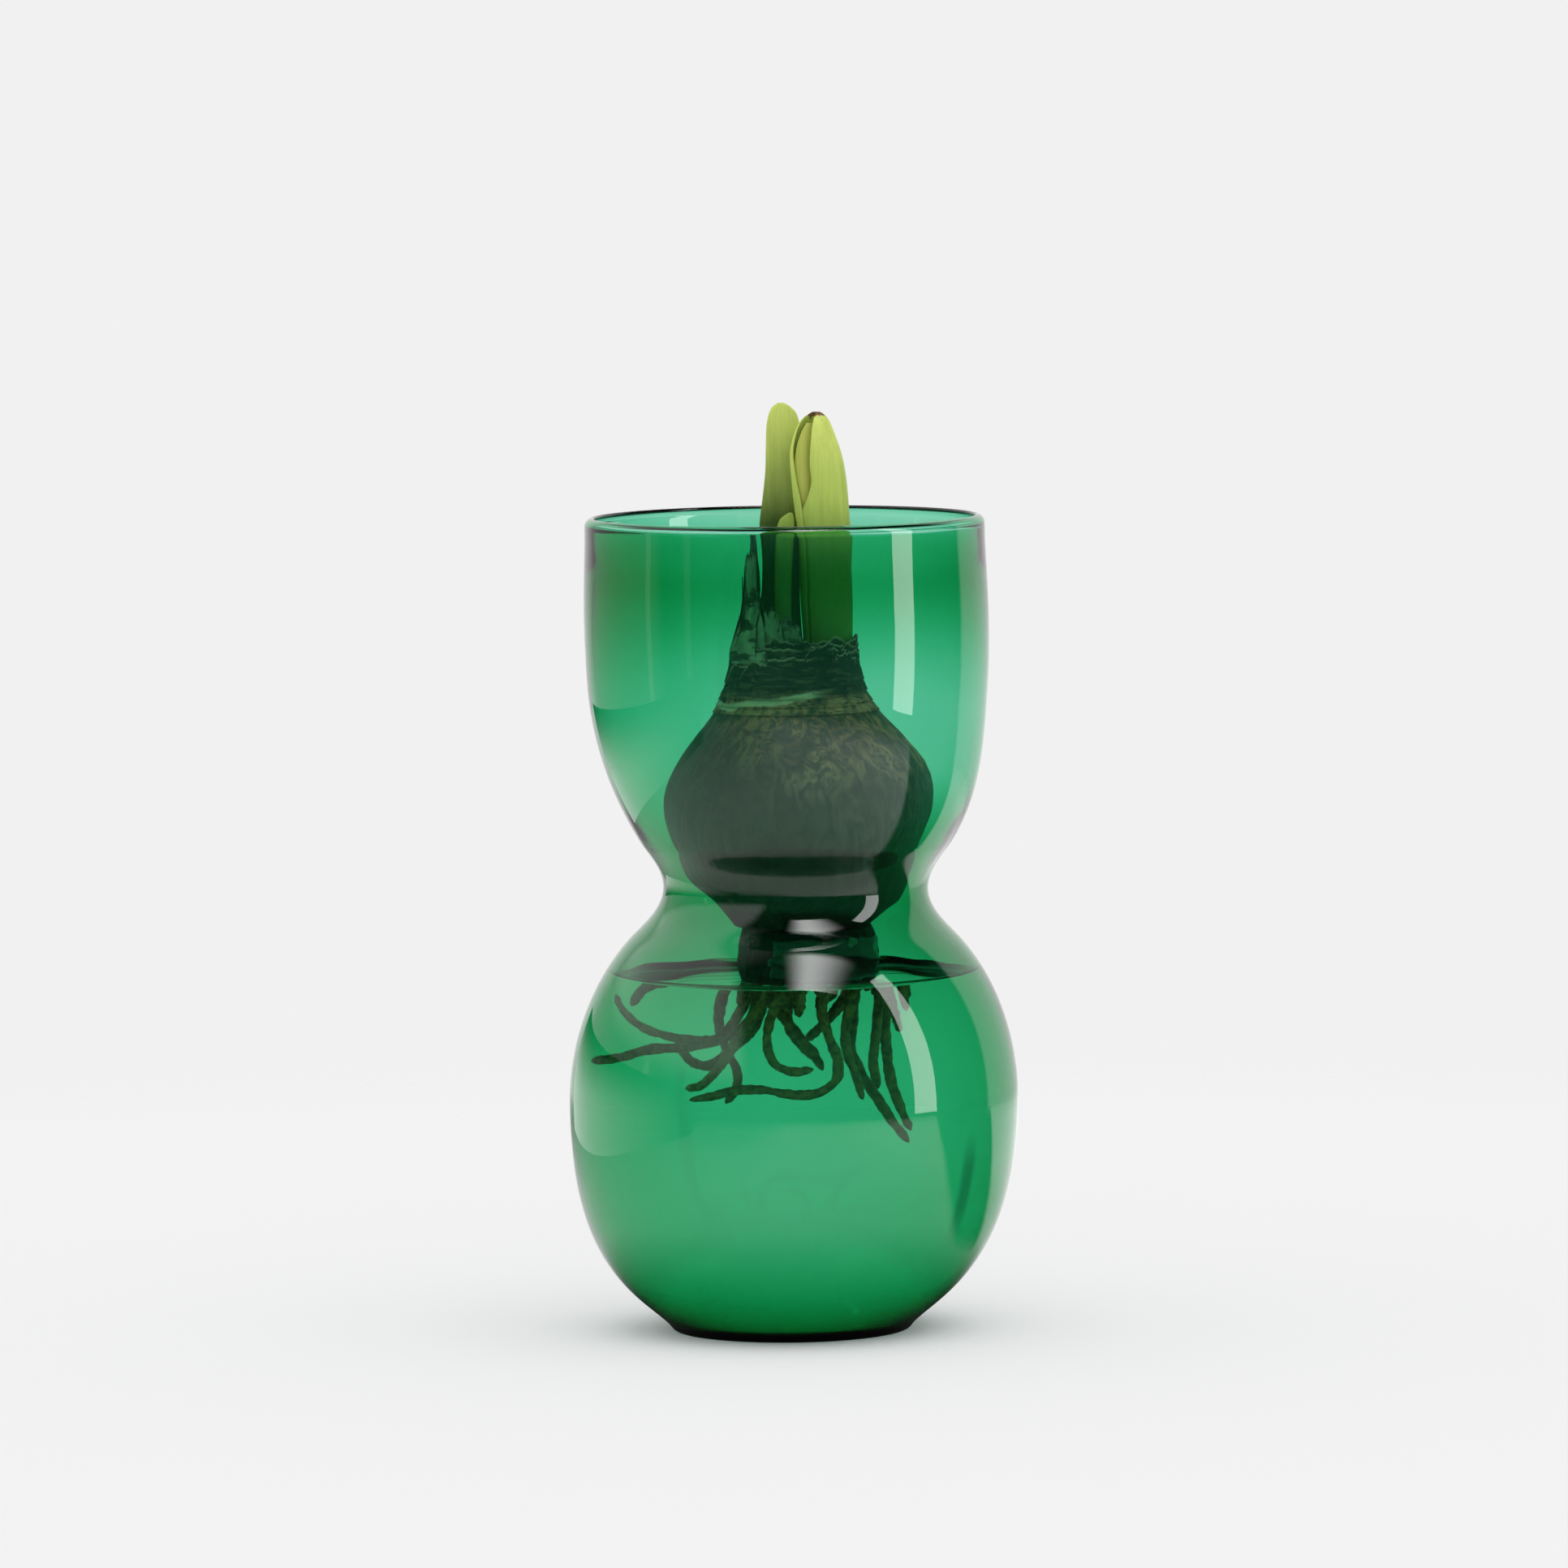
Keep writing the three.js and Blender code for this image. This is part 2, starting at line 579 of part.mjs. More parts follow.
// One level section of a leaf: an ellipse that curls forward at its edges
function leafRing(x, y, z, width, thickness, curl) {
  const ring = [];
  for (let side = 0; side < leafSides; side += 1) {
    const turn = 2 * Math.PI * side / leafSides;
    const across = Math.cos(turn);
    const along = Math.sin(turn) * thickness / 2 + curl * thickness * across * across;
    ring.push(new THREE.Vector3(x + width / 2 * across, y + along, z));
  }
  return ring;
}

function leafGeometry(height, widthShare, thickShare, [xShare, yShare], rowShares, curl) {
  const bottom = noseTop + leafGap;
  const x = bulbAxis + neckRadius * xShare;
  const y = neckRadius * yShare;
  const width = neckRadius * widthShare;
  const thickness = neckRadius * thickShare;
  return loft(rowShares.map(([heightShare, shift, rowWidth, rowThick]) => (
    leafRing(x + width * shift, y, bottom + height * heightShare, width * rowWidth,
      thickness * rowThick, curl))));
}

// The lens-shaped slit in the right leaf, or with shares of its size the inner leaf in it
function slitSolid(widthShare, depthShare, rowShares) {
  const leafWidth = neckRadius * rightLeafWidthShare;
  const leafThickness = neckRadius * rightLeafThickShare;
  const [xShare, yShare] = slitPlaceShares;
  const x = bulbAxis + neckRadius * rightLeafPlaceShares[0] + leafWidth * xShare;
  const y = neckRadius * rightLeafPlaceShares[1] + leafThickness * yShare;
  const bottom = noseTop + leafGap;
  const width = leafWidth * slitWidthShare * widthShare;
  const depth = leafThickness * slitDepthShare * depthShare;
  return loft(rowShares.map(([heightShare, shift, size]) => (
    leafRing(x + leafWidth * shift, y, bottom + rightLeafHeight * heightShare, width * size,
      depth * size, 0))));
}

// A tapering root from under the plate, or with extra the room that it needs, open into the plate's room
function rootGeometry(routeShares, extra) {
  const start = new THREE.Vector3(plateAxis, 0, plateBottom - rootGap);
  const scale = new THREE.Vector3(rootReach, rootReach, rootDepth);
  const points = routeShares.map((share) => new THREE.Vector3(...share).multiply(scale).add(start));
  points.splice(1, 0, points[0].clone().setZ(start.z - 2 * rootRadius));
  const curve = new THREE.CatmullRomCurve3(points, false, 'centripetal');
  const steps = Math.round(points.length * rootStepsPerPoint);
  const normals = [];
  for (let step = 0; step <= steps; step += 1) {
    const tangent = curve.getTangentAt(step / steps);
    const last = step === 0 ? new THREE.Vector3(1, 0, 0) : normals[step - 1];
    normals.push(last.clone().addScaledVector(tangent, -last.dot(tangent)).normalize());
  }
  const ringAt = (step, ahead) => {
    const share = step / steps;
    const tangent = curve.getTangentAt(share);
    const sideways = tangent.clone().cross(normals[step]);
    const centre = curve.getPointAt(share).addScaledVector(tangent, ahead);
    const radius = rootRadius * (1 - rootTaperShare * share) + extra;
    const ring = [];
    for (let side = 0; side < rootSides; side += 1) {
      const turn = 2 * Math.PI * side / rootSides;
      ring.push(centre.clone()
        .addScaledVector(normals[step], radius * Math.cos(turn))
        .addScaledVector(sideways, radius * Math.sin(turn)));
    }
    return ring;
  };
  const rings = [];
  for (let step = 0; step <= steps; step += 1) rings.push(ringAt(step, 0));
  if (extra > 0) {
    rings.unshift(ringAt(0, -2 * extra));
    rings.push(ringAt(steps, extra));
  }
  return loft(rings);
}

const manifold = await Module();
manifold.setup();

function solidOf(geometry) {
  const merged = mergeVertices(new THREE.BufferGeometry()
    .setAttribute('position', geometry.getAttribute('position'))
    .setIndex(geometry.getIndex()));
  return new manifold.Manifold(new manifold.Mesh({
    numProp: 3,
    vertProperties: new Float32Array(merged.getAttribute('position').array),
    triVerts: new Uint32Array(merged.getIndex().array),
  }));
}

function geometryOf(solid) {
  const mesh = solid.getMesh();
  const geometry = new THREE.BufferGeometry();
  geometry.setAttribute('position', new THREE.BufferAttribute(mesh.vertProperties, 3));
  geometry.setIndex(new THREE.BufferAttribute(mesh.triVerts, 1));
  geometry.computeVertexNormals();
  return geometry;
}

// Water with room in it for the wet end of the plate and for every root
function waterRoundRoots() {
  let water = solidOf(waterGeometry())
    .subtract(solidOf(loft(plateRings(rootGap))))
    .subtract(solidOf(wrapGeometry(rootGap)));
  Object.values(rootRouteShares).forEach((route) => {
    water = water.subtract(solidOf(rootGeometry(route, rootGap)));
  });
  return geometryOf(water);
}

const part = new THREE.Group();

function add(name, geometry, material) {
  const mesh = new THREE.Mesh(geometry, material);
  mesh.name = name;
  part.add(mesh);
}

add('glass_vase', vaseGeometry(), glassGreen);
add('water', waterRoundRoots(), clearWater);
add('bulb_body', bulbGeometry(), bulbSkin);
add('basal_plate', plateGeometry(), plateWood);

add('wet_scale', wrapGeometry(0), wetScale);
add('skin_band_lower', bandGeometry([0, 360], (turn) => skinLevels(turn, lowerBandShares),
  lowerBandThickness, bulbAxis), tornSkin);
add('skin_band_upper', bandGeometry(upperBandAngles, (turn) => skinLevels(turn, upperBandShares),
  upperBandThickness, bulbAxis), tornSkin);
add('dry_sheath', sheathGeometry(), tornSkin);

add('left_leaf', leafGeometry(leftLeafHeight, leftLeafWidthShare, leftLeafThickShare, leftLeafPlaceShares,
  leftLeafRowShares, -leafCurlShare), leafGreen);
add('small_leaf', leafGeometry(smallLeafHeight, smallLeafWidthShare, smallLeafThickShare,
  smallLeafPlaceShares, smallLeafRowShares, 0), leafGreen);
const rightLeaf = solidOf(leafGeometry(rightLeafHeight, rightLeafWidthShare, rightLeafThickShare,
  rightLeafPlaceShares, rightLeafRowShares, 0));
const slit = solidOf(slitSolid(1, 1, slitRowShares));
add('right_leaf', geometryOf(rightLeaf.subtract(slit)), leafGreen);
const [innerWidthShare, innerDepthShare] = innerLeafShares;
add('inner_leaf', slitSolid(innerWidthShare, innerDepthShare, innerLeafRowShares), innerLeafGreen);

Object.entries(rootRouteShares).forEach(([place, route]) => {
  add(`root_${place}`, rootGeometry(route, 0), rootFlesh);
});

export default part;
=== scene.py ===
"""Models a blown glass vase that forces a bulb.

It makes the glass, its water, the bulb, its torn skins, its leaves and its roots, and a plain stage.

Everything is in metres in the row frame: +Z up, the viewer at -Y, and the vase stands on Z = 0.
Tables of rows and places are in millimetres, and lengths in settings are in metres.
"""

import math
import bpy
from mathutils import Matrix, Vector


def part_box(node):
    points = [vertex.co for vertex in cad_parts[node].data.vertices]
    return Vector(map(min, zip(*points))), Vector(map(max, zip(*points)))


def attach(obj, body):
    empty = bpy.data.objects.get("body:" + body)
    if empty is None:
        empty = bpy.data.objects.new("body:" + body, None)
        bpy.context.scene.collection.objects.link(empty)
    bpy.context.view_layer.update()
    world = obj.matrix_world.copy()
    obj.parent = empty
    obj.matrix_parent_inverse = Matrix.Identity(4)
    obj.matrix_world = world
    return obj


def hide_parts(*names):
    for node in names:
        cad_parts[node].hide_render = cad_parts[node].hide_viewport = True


bl_info = {
    "name": "Bulb Forcing Vase",
    "version": (1, 0, 0),
    "blender": (4, 5, 0),
    "location": "3D View > Sidebar > Bulb Vase",
    "description": "Builds a blown glass vase with its water and a sprouting bulb",
    "category": "Add Mesh",
}

import bmesh
import bpy
from bpy.props import FloatProperty, FloatVectorProperty, IntProperty, PointerProperty
from mathutils import Matrix, Vector, noise

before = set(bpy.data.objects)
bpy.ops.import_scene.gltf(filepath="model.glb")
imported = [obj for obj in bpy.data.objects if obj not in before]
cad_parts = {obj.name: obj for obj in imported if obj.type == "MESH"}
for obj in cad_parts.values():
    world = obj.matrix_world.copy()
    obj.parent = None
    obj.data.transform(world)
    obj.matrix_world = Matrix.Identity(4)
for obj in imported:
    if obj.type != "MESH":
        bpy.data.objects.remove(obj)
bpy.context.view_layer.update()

MM = 0.001

# Stations of the outer wall: radius, height, lean in degrees, pull of the lean below and above, steps
WALL_STATIONS = [
    (36.6, 2.2, 46, 0, 0.17, 0),
    (66.1, 68, 0, 0.67, 0.3, 44),
    (49.4, 114.7, -41, 0.37, 0.33, 34),
    (39, 130.8, 0, 0.36, 0.37, 20),
    (45.7, 143.9, 32, 0.21, 0.31, 16),
    (59.5, 211, 0, 0.41, 0.3, 40),
    (58.9, 231.8, -2, 0.3, 0.3, 12),
    (58.8, 237.5, -2, 0.3, 0, 6),
]
RIM_WALL = 1.3

# Wall: height and thickness. The foot is thick, the lower cup thin
WALL_ROWS = [
    (2.2, 3.9), (14, 2.4), (30, 1.8), (46, 1.7), (68, 1.7), (100, 1.8), (115, 1.95), (131, 2.2), (144, 1.9),
    (154, 1.45), (166, 1.2), (185, 1.15), (200, 1.5), (214, 2.1), (224, 2.5), (231, 1.9), (237.5, RIM_WALL),
]

# How far the inner wall of the cup lies off centre, which makes the left wall thicker: from this height up
CUP_SHIFT = 0.3
CUP_SHIFT_START = 140
CUP_SHIFT_FULL = 165
RIM_TURN_RADIUS = 2.5
RIM_TURN = 80
FLOOR_THICKNESS = 5.6
GROUND_RADIUS = 34
RING_WIDTH = 8
PUNT_DEPTH = 1.5

# Facets along the floor, punt, heel, rim and the rim's rounded edge, and the lean of a level line
FLOOR_STEPS = 24
PUNT_STEPS = 12
HEEL_STEPS = 8
RIM_STEPS = 14
TIP_STEPS = 8
LEVEL = 90

# Heights in metres over which the veil of the foot's thick glass fades to that of the wall
FOOT_FADE = (0.004, 0.026)

# Sideways place of the vase's axis: height and place
DRIFT_PLACES = [(0, -1.4), (68, 0), (114.7, 0.5), (143.9, 1.65), (189.5, -0.55), (238, -0.9)]

# Faint rings that the tools left on the globe: height, depth and width
TOOL_MARKS = [(50.5, 0.05, 1.1), (53.4, 0.04, 0.8), (56.8, 0.06, 1.3)]

# Bulb: height, radius, sideways lean and depth, as shares of its length, radius, radius and width
BULB_ROWS = [
    (0, 0.5, 0.03, 1.02), (0.05, 0.6, 0.05, 1.06), (0.1, 0.695, 0.06, 1.1), (0.15, 0.775, 0.03, 1.11),
    (0.2, 0.835, 0, 1.115), (0.27, 0.905, 0, 1.115), (0.34, 0.968, 0, 1.11), (0.42, 1, 0.01, 1.09),
    (0.5, 0.985, 0.023, 1.07),
    (0.58, 0.915, 0.034, 1.04), (0.66, 0.795, 0.026, 1.02), (0.74, 0.655, 0.01, 1.01),
    (0.84, 0.515, -0.012, 1), (0.93, 0.455, -0.015, 1), (1, 0.435, -0.012, 1),
]
BULB_RADIUS = 39.8
BULB_LENGTH = 84

# Patches of colour on the bulb in metres: an axis, and where the patch starts and is full. The shoulder
# patch is paler skin with painted light on it
LIT_PALE_SHOULDER = [("Z", 0.154, 0.176), ("X", -0.022, 0.008)]
PALE_SIDE = [("X", 0.002, 0.02), ("Z", 0.135, 0.155)]
BROWN_NECK = [("Z", 0.162, 0.184), ("X", -0.03, -0.012)]
PLEATED_NECK = [("Z", 0.158, 0.178)]

# Basal plate: height share and radius share
PLATE_ROWS = [(0, 0.8), (0.05, 0.88), (0.12, 0.95), (0.45, 1), (0.8, 0.96), (1, 0.9)]
PLATE_RADIUS = 21.3
PLATE_LENGTH = 17
PLATE_OFFSET = 2.8

# Left leaf: height, left edge, right edge and thickness
LEFT_LEAF_ROWS = [
    (203.2, -9.6, 4, 3.2), (213, -9, 3.6, 3), (221, -7.8, 3.4, 2.9), (236.6, -8.3, 3.5, 2.7),
    (245, -7.3, 3.6, 2.6), (253, -6.4, 3.7, 2.4), (262, -6.1, 3.85, 2.2), (267, -5.8, 3.75, 2),
    (270, -5.1, 2.9, 1.7), (271.9, -4.1, 1.2, 1.2), (273, -2.6, -0.6, 0.6),
]
LEFT_LEAF_DEPTH = 3.6

# Small leaf: height, left edge, right edge and thickness
SMALL_LEAF_ROWS = [
    (203.2, -4.4, 0.7, 2.2), (222, -4.2, 1, 2.1), (234, -3.6, 1.7, 1.8), (239, -2.3, 2.1, 1.3),
    (241, 0.2, 1.5, 0.6),
]
SMALL_LEAF_DEPTH = -2.6

# Rolled right leaf: height, left edge, right edge, depth, and the angles of the slit's left and right edges
RIGHT_LEAF_ROWS = [
    (203.2, 4.2, 18.3, 9.6, -138, -136), (212, 3.8, 18.5, 10.1, -138, -136),
    (222, 3.3, 18.8, 10.4, -138, -136), (233.5, 2.9, 19, 10.4, -138, -136),
    (239, 2.5, 18.3, 10.4, -138, -136), (242, 2.1, 18.1, 10.4, -138, -135),
    (245, 1.7, 17.9, 10.4, -139, -121), (250, 1.3, 17.5, 10.4, -147, -107),
    (255, 0.9, 16.8, 10.3, -152, -106), (258.5, 0.9, 16, 10, -156, -103),
    (262, 1.5, 14.9, 9, -160, -100), (266, 2.9, 13.4, 7, -165, -98), (268.6, 4.6, 12.2, 4.6, -167, -97),
    (270, 6.6, 10.8, 2.4, -168, -96), (270.6, 7.6, 9.8, 1.2, -168, -96),
]
RIGHT_LEAF_DEPTH = -3.4

# Blades rolled inside the right leaf: height, left edge, right edge and thickness
INNER_LEAF_ROWS = [
    (238, 2.6, 8.6, 1.3), (244, 1.9, 8.4, 1.3), (250, 1.9, 8.4, 1.2), (256, 2.1, 8.2, 1.1), (261, 3, 8, 0.9),
    (265, 4.4, 7.8, 0.7), (267.4, 5.8, 7.6, 0.5),
]
INNER_LEAF_DEPTH = -5.2

# Metres: the heights over which the painted shade on a leaf's foot fades out, and how fast a dried tip fades
# in
LEAF_PAINTED_SHADE = (0.224, 0.247)
DRY_FADE = 0.004

# Torn layers: CAD node, bottom and top share of the bulb's length, angles, how far they stand off and flare,
# depth of the tears
TORN_LAYERS = [
    ("skin_band_lower", 0.765, 0.875, -180, 180, -0.2, 0.5, 1.6),
    ("skin_band_lower", 0.79, 0.9, -175, -40, 0.1, 0.5, 2.4),
    ("skin_band_lower", 0.8, 0.915, -100, 40, 0.3, 0.5, 2.0),
    ("skin_band_lower", 0.81, 0.925, 10, 200, 0.2, 0.6, 2.4),
    ("skin_band_lower", 0.82, 0.94, -165, -60, 0.6, 0.5, 2.0),
    ("skin_band_lower", 0.84, 0.955, -75, 60, 0.8, 0.5, 2.4),
    ("skin_band_upper", 0.86, 0.965, -140, 0, 0.9, 0.5, 1.8),
    ("skin_band_upper", 0.87, 0.975, 40, 240, 0.7, 0.6, 2.4),
    ("skin_band_upper", 0.88, 0.985, -60, 80, 1.1, 0.5, 2.2),
    ("skin_band_upper", 0.9, 1.0, -150, -20, 0.7, 0.6, 1.8),
    ("skin_band_upper", 0.92, 1.015, -80, 100, 0.8, 0.7, 2.6),
    ("skin_band_upper", 0.94, 1.03, -138, 138, 0.4, 1.0, 2.8),
]

# Papery sheath strips on the left: middle angle, half angle, bottom and top height, distance share, lean in
SHEATH_STRIPS = [
    (188, 40, 197, 236, 1.08, 0.66),
    (207, 28, 199, 227, 1.12, 0.74),
    (172, 30, 198, 218, 1.08, 0.8),
    (222, 24, 198, 219, 1.12, 0.84),
    (243, 24, 198, 214, 1.08, 0.88),
    (264, 20, 198, 211, 1.04, 0.9),
]

# Where the torn skins' smooth foot fades out, and the pale torn scale on their front, in metres
SMOOTH_SKIN_TOP = (0.1865, 0.1905)
PALE_SCALE_HEIGHTS = (0.1885, 0.1891, 0.1904, 0.1912)
PALE_SCALE = [("X", -0.027, -0.022), ("X", 0.012, 0.004), ("Y", 0.0, -0.004)]

# Roots: routes from under the plate, as shares of their reach and depth
ROOT_ROUTES = {
    "left_upper": [(-0.25, -0.15, 0), (-0.3, -0.2, -0.15), (-0.37, -0.24, -0.27), (-0.47, -0.32, -0.34),
                   (-0.68, -0.36, -0.32), (-0.87, -0.36, -0.25), (-0.98, -0.32, -0.16),
                   (-1.04, -0.26, -0.07)],
    "left_lower": [(-0.21, 0.03, 0), (-0.24, 0.04, -0.17), (-0.28, 0.04, -0.32), (-0.4, 0.06, -0.4),
                   (-0.56, 0.08, -0.44), (-0.73, 0.06, -0.45), (-0.89, 0.04, -0.48), (-1.06, 0, -0.48)],
    "left_hook": [(-0.14, 0.2, 0), (-0.19, 0.26, -0.2), (-0.25, 0.28, -0.38), (-0.35, 0.28, -0.49),
                  (-0.45, 0.24, -0.55), (-0.53, 0.2, -0.52), (-0.6, 0.16, -0.42)],
    "left_diagonal": [(-0.17, -0.27, 0), (-0.22, -0.35, -0.13), (-0.3, -0.42, -0.24), (-0.38, -0.44, -0.35),
                      (-0.46, -0.44, -0.47), (-0.55, -0.41, -0.56), (-0.62, -0.36, -0.58)],
    "left_straight": [(-0.33, -0.04, 0), (-0.4, -0.08, -0.14), (-0.43, -0.08, -0.28), (-0.4, -0.12, -0.42),
                      (-0.35, -0.14, -0.52), (-0.35, -0.14, -0.6), (-0.4, -0.13, -0.68)],
    "long_bow": [(0.11, -0.21, 0), (0.05, -0.28, -0.18), (0.08, -0.33, -0.32), (0.12, -0.33, -0.45),
                 (0.11, -0.33, -0.55), (0.03, -0.33, -0.61), (-0.1, -0.31, -0.62), (-0.23, -0.29, -0.6),
                 (-0.36, -0.28, -0.6), (-0.48, -0.27, -0.63), (-0.59, -0.26, -0.65)],
    "front_loop": [(-0.04, -0.31, 0), (-0.17, -0.4, -0.16), (-0.22, -0.46, -0.32), (-0.19, -0.46, -0.44),
                   (-0.1, -0.45, -0.49), (0.01, -0.44, -0.48)],
    "middle_short": [(-0.04, 0.1, 0), (-0.1, 0.11, -0.18), (-0.11, 0.1, -0.33), (-0.05, 0.09, -0.44),
                     (0.01, 0.07, -0.5), (0.04, 0.05, -0.55)],
    "right_straight": [(0.28, 0.08, 0), (0.31, 0.08, -0.13), (0.29, 0.08, -0.28), (0.27, 0.08, -0.42),
                       (0.26, 0.08, -0.53), (0.28, 0.08, -0.64)],
    "right_deep": [(0.15, 0.24, 0), (0.17, 0.25, -0.16), (0.16, 0.25, -0.34), (0.15, 0.25, -0.48),
                   (0.2, 0.25, -0.6), (0.26, 0.25, -0.71), (0.32, 0.25, -0.81), (0.39, 0.24, -0.91)],
    "right_front": [(0.24, -0.15, 0), (0.2, -0.22, -0.15), (0.16, -0.23, -0.3), (0.16, -0.23, -0.42),
                    (0.2, -0.23, -0.54), (0.23, -0.23, -0.66)],
    "right_short": [(0.34, -0.06, 0), (0.36, -0.1, -0.14), (0.39, -0.12, -0.26), (0.41, -0.12, -0.34)],
    "surface_left": [(-0.28, 0.17, 0), (-0.38, 0.27, -0.1), (-0.5, 0.32, -0.16), (-0.61, 0.32, -0.19),
                     (-0.71, 0.28, -0.21), (-0.78, 0.24, -0.28)],
    "front_cross": [(-0.14, -0.1, 0), (-0.22, -0.15, -0.1), (-0.18, -0.19, -0.2), (-0.09, -0.18, -0.31),
                    (-0.03, -0.15, -0.4), (0.03, -0.14, -0.46)],
    "middle_cross": [(0.15, 0, 0), (0.17, -0.02, -0.14), (0.11, -0.03, -0.25), (0.03, -0.04, -0.34),
                     (-0.03, -0.02, -0.4)],
    "right_fork": [(0.22, 0.22, 0), (0.3, 0.2, -0.22), (0.31, 0.17, -0.45), (0.33, 0.15, -0.62),
                   (0.37, 0.13, -0.74), (0.42, 0.09, -0.84)],
}
ROOT_REACH = 50
ROOT_DEPTH = 50
# Places between two points of a root's route
ROUTE_STEPS = 12

# Overhead lit sheet: corners in metres, and its soft edges as shares of its size
OVERHEAD_CORNERS = [(-0.15, -0.8, 1.2), (0.6, -0.8, 1.2), (0.6, -0.2, 1.2), (-0.15, -0.2, 1.2)]
OVERHEAD_EDGES = [("X", 0.05, 0.4), ("X", 1.0, 0.35), ("Y", 1.0, 0.8)]
WHITE = (1, 1, 1)


def srgb(red, green, blue):
    """Turns a colour of 0 to 255 a channel into the linear values that shaders take."""
    values = []
    for channel in (red, green, blue):
        share = channel / 255
        values.append(share / 12.92 if share <= 0.04045 else ((share + 0.055) / 1.055) ** 2.4)
    return tuple(values)


def darker(colour, share):
    """A colour with only a share of its light."""
    return tuple(part * share for part in colour)


def clamp(value, low=0.0, high=1.0):
    return max(low, min(high, value))


def ease(share):
    """Rises smoothly from 0 to 1."""
    return share * share * (3 - 2 * share)


def ends(share, pull):
    """Is 1 along a strip and falls smoothly to 0 at both of its ends, faster for a larger pull."""
    return math.prod(math.sin(math.pi * clamp(side * pull, 0, 0.5)) for side in (share, 1 - share))


def wave(seed, *place):
    """Smooth noise from -1 to 1 at a place, the same on every run."""
    spot = Vector((tuple(place) + (0, 0, 0))[:3])
    return noise.noise(spot + Vector((seed * 7.31, seed * 3.17, seed * 1.93)))


def round_wave(seed, turn, lobes, up=0.0):
    """Smooth noise round an axis, finer for more lobes, that also changes with a height."""
    return wave(seed, lobes * math.cos(turn), lobes * math.sin(turn), up)


def between(share, start, leave, end, arrive):
    """A smooth way from start to end that leaves and arrives at two speeds."""
    square, cube = share ** 2, share ** 3
    return (start * (2 * cube - 3 * square + 1) + leave * (cube - 2 * square + share)
            + end * (3 * square - 2 * cube) + arrive * (cube - square))


def row_at(rows, place):
    """The values of a table of rows at a place between them, on smooth curves through the rows."""
    index = 0
    while index < len(rows) - 2 and place > rows[index + 1][0]:
        index += 1
    low, high = rows[index], rows[index + 1]
    span = high[0] - low[0]
    share = clamp((place - low[0]) / span)
    before = rows[index - 1] if index > 0 else low
    after = rows[index + 2] if index + 2 < len(rows) else high
    values = []
    for column in range(1, len(low)):
        leave = (high[column] - before[column]) / (high[0] - before[0]) * span
        arrive = (after[column] - low[column]) / (after[0] - low[0]) * span
        values.append(between(share, low[column], leave, high[column], arrive))
    return values


class Surface:
    """Points and faces of one mesh while it is built, in millimetres, with an edge value for each point."""

    def __init__(self):
        self.points = []
        self.faces = []
        self.edge = []

    def point(self, x, y, z, edge=0.0):
        self.points.append((x * MM, y * MM, z * MM))
        self.edge.append(edge)
        return len(self.points) - 1

    def bridge(self, here, there, sides):
        """Joins two rings of points, each given by its first point."""
        for side in range(sides):
            after = (side + 1) % sides
            self.faces.append((here + side, here + after, there + after, there + side))

    def fan(self, middle, start, sides):
        """Closes a ring of points with faces that meet in a middle point."""
        for side in range(sides):
            self.faces.append((middle, start + side, start + (side + 1) % sides))

    def rings(self, rings, meets=False, edges=None):
        """Joins rings of equally many points, which end in caps or meet again."""
        sides = len(rings[0])
        first = len(self.points)
        for number, ring in enumerate(rings):
            for side, place in enumerate(ring):
                self.point(*place, edge=edges[number][side] if edges else 0.0)
        for number in range(len(rings) if meets else len(rings) - 1):
            self.bridge(first + number * sides, first + (number + 1) % len(rings) * sides, sides)
        if not meets:
            for number in (0, len(rings) - 1):
                centre = sum((Vector(place) for place in rings[number]), Vector()) / sides
                middle = self.point(*centre, edge=edges[number][0] if edges else 0.0)
                self.fan(middle, first + number * sides, sides)

    def sheet(self, columns, levels, at, whole=False):
        """A thin sheet: at gives a place on each face and an edge value for shares of its two sizes."""
        sections, edges = [], []
        for column in range(columns if whole else columns + 1):
            one_face, other_face, rim = [], [], []
            for level in range(levels + 1):
                (one, other), edge = at(column / columns, level / levels)
                one_face.append(one)
                other_face.append(other)
                rim.append(edge)
            sections.append(one_face + other_face[::-1])
            edges.append(rim + rim[::-1])
        self.rings(sections, meets=whole, edges=edges)

    def turned(self, profile, sides, place):
        """Turns a profile, which starts and ends on the axis, about the vase's wandering axis."""
        poles = [self.point(*place(profile[end], 0)) for end in (0, -1)]
        first = len(self.points)
        middle = profile[1:-1]
        for spot in middle:
            for side in range(sides):
                self.point(*place(spot, 2 * math.pi * side / sides))
        last = first + (len(middle) - 1) * sides
        for here in range(first, last, sides):
            self.bridge(here, here + sides, sides)
        for pole, start in zip(poles, (first, last)):
            self.fan(pole, start, sides)

    def piece(self, name, finish, body, nodes, slot):
        """Makes the mesh an object that rides on a body and stands for CAD nodes."""
        mesh = bpy.data.meshes.new(name)
        mesh.from_pydata(self.points, [], self.faces)
        shell = bmesh.new()
        shell.from_mesh(mesh)
        bmesh.ops.recalc_face_normals(shell, faces=shell.faces)
        shell.to_mesh(mesh)
        shell.free()
        if any(self.edge):
            layer = mesh.attributes.new("edge", "FLOAT", "POINT")
            layer.data.foreach_set("value", self.edge)
        mesh.shade_smooth()
        mesh.materials.append(finish.material)
        made = bpy.data.objects.new(name, mesh)
        bpy.context.scene.collection.objects.link(made)
        if body:
            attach(made, body)
            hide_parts(*nodes)
        return made


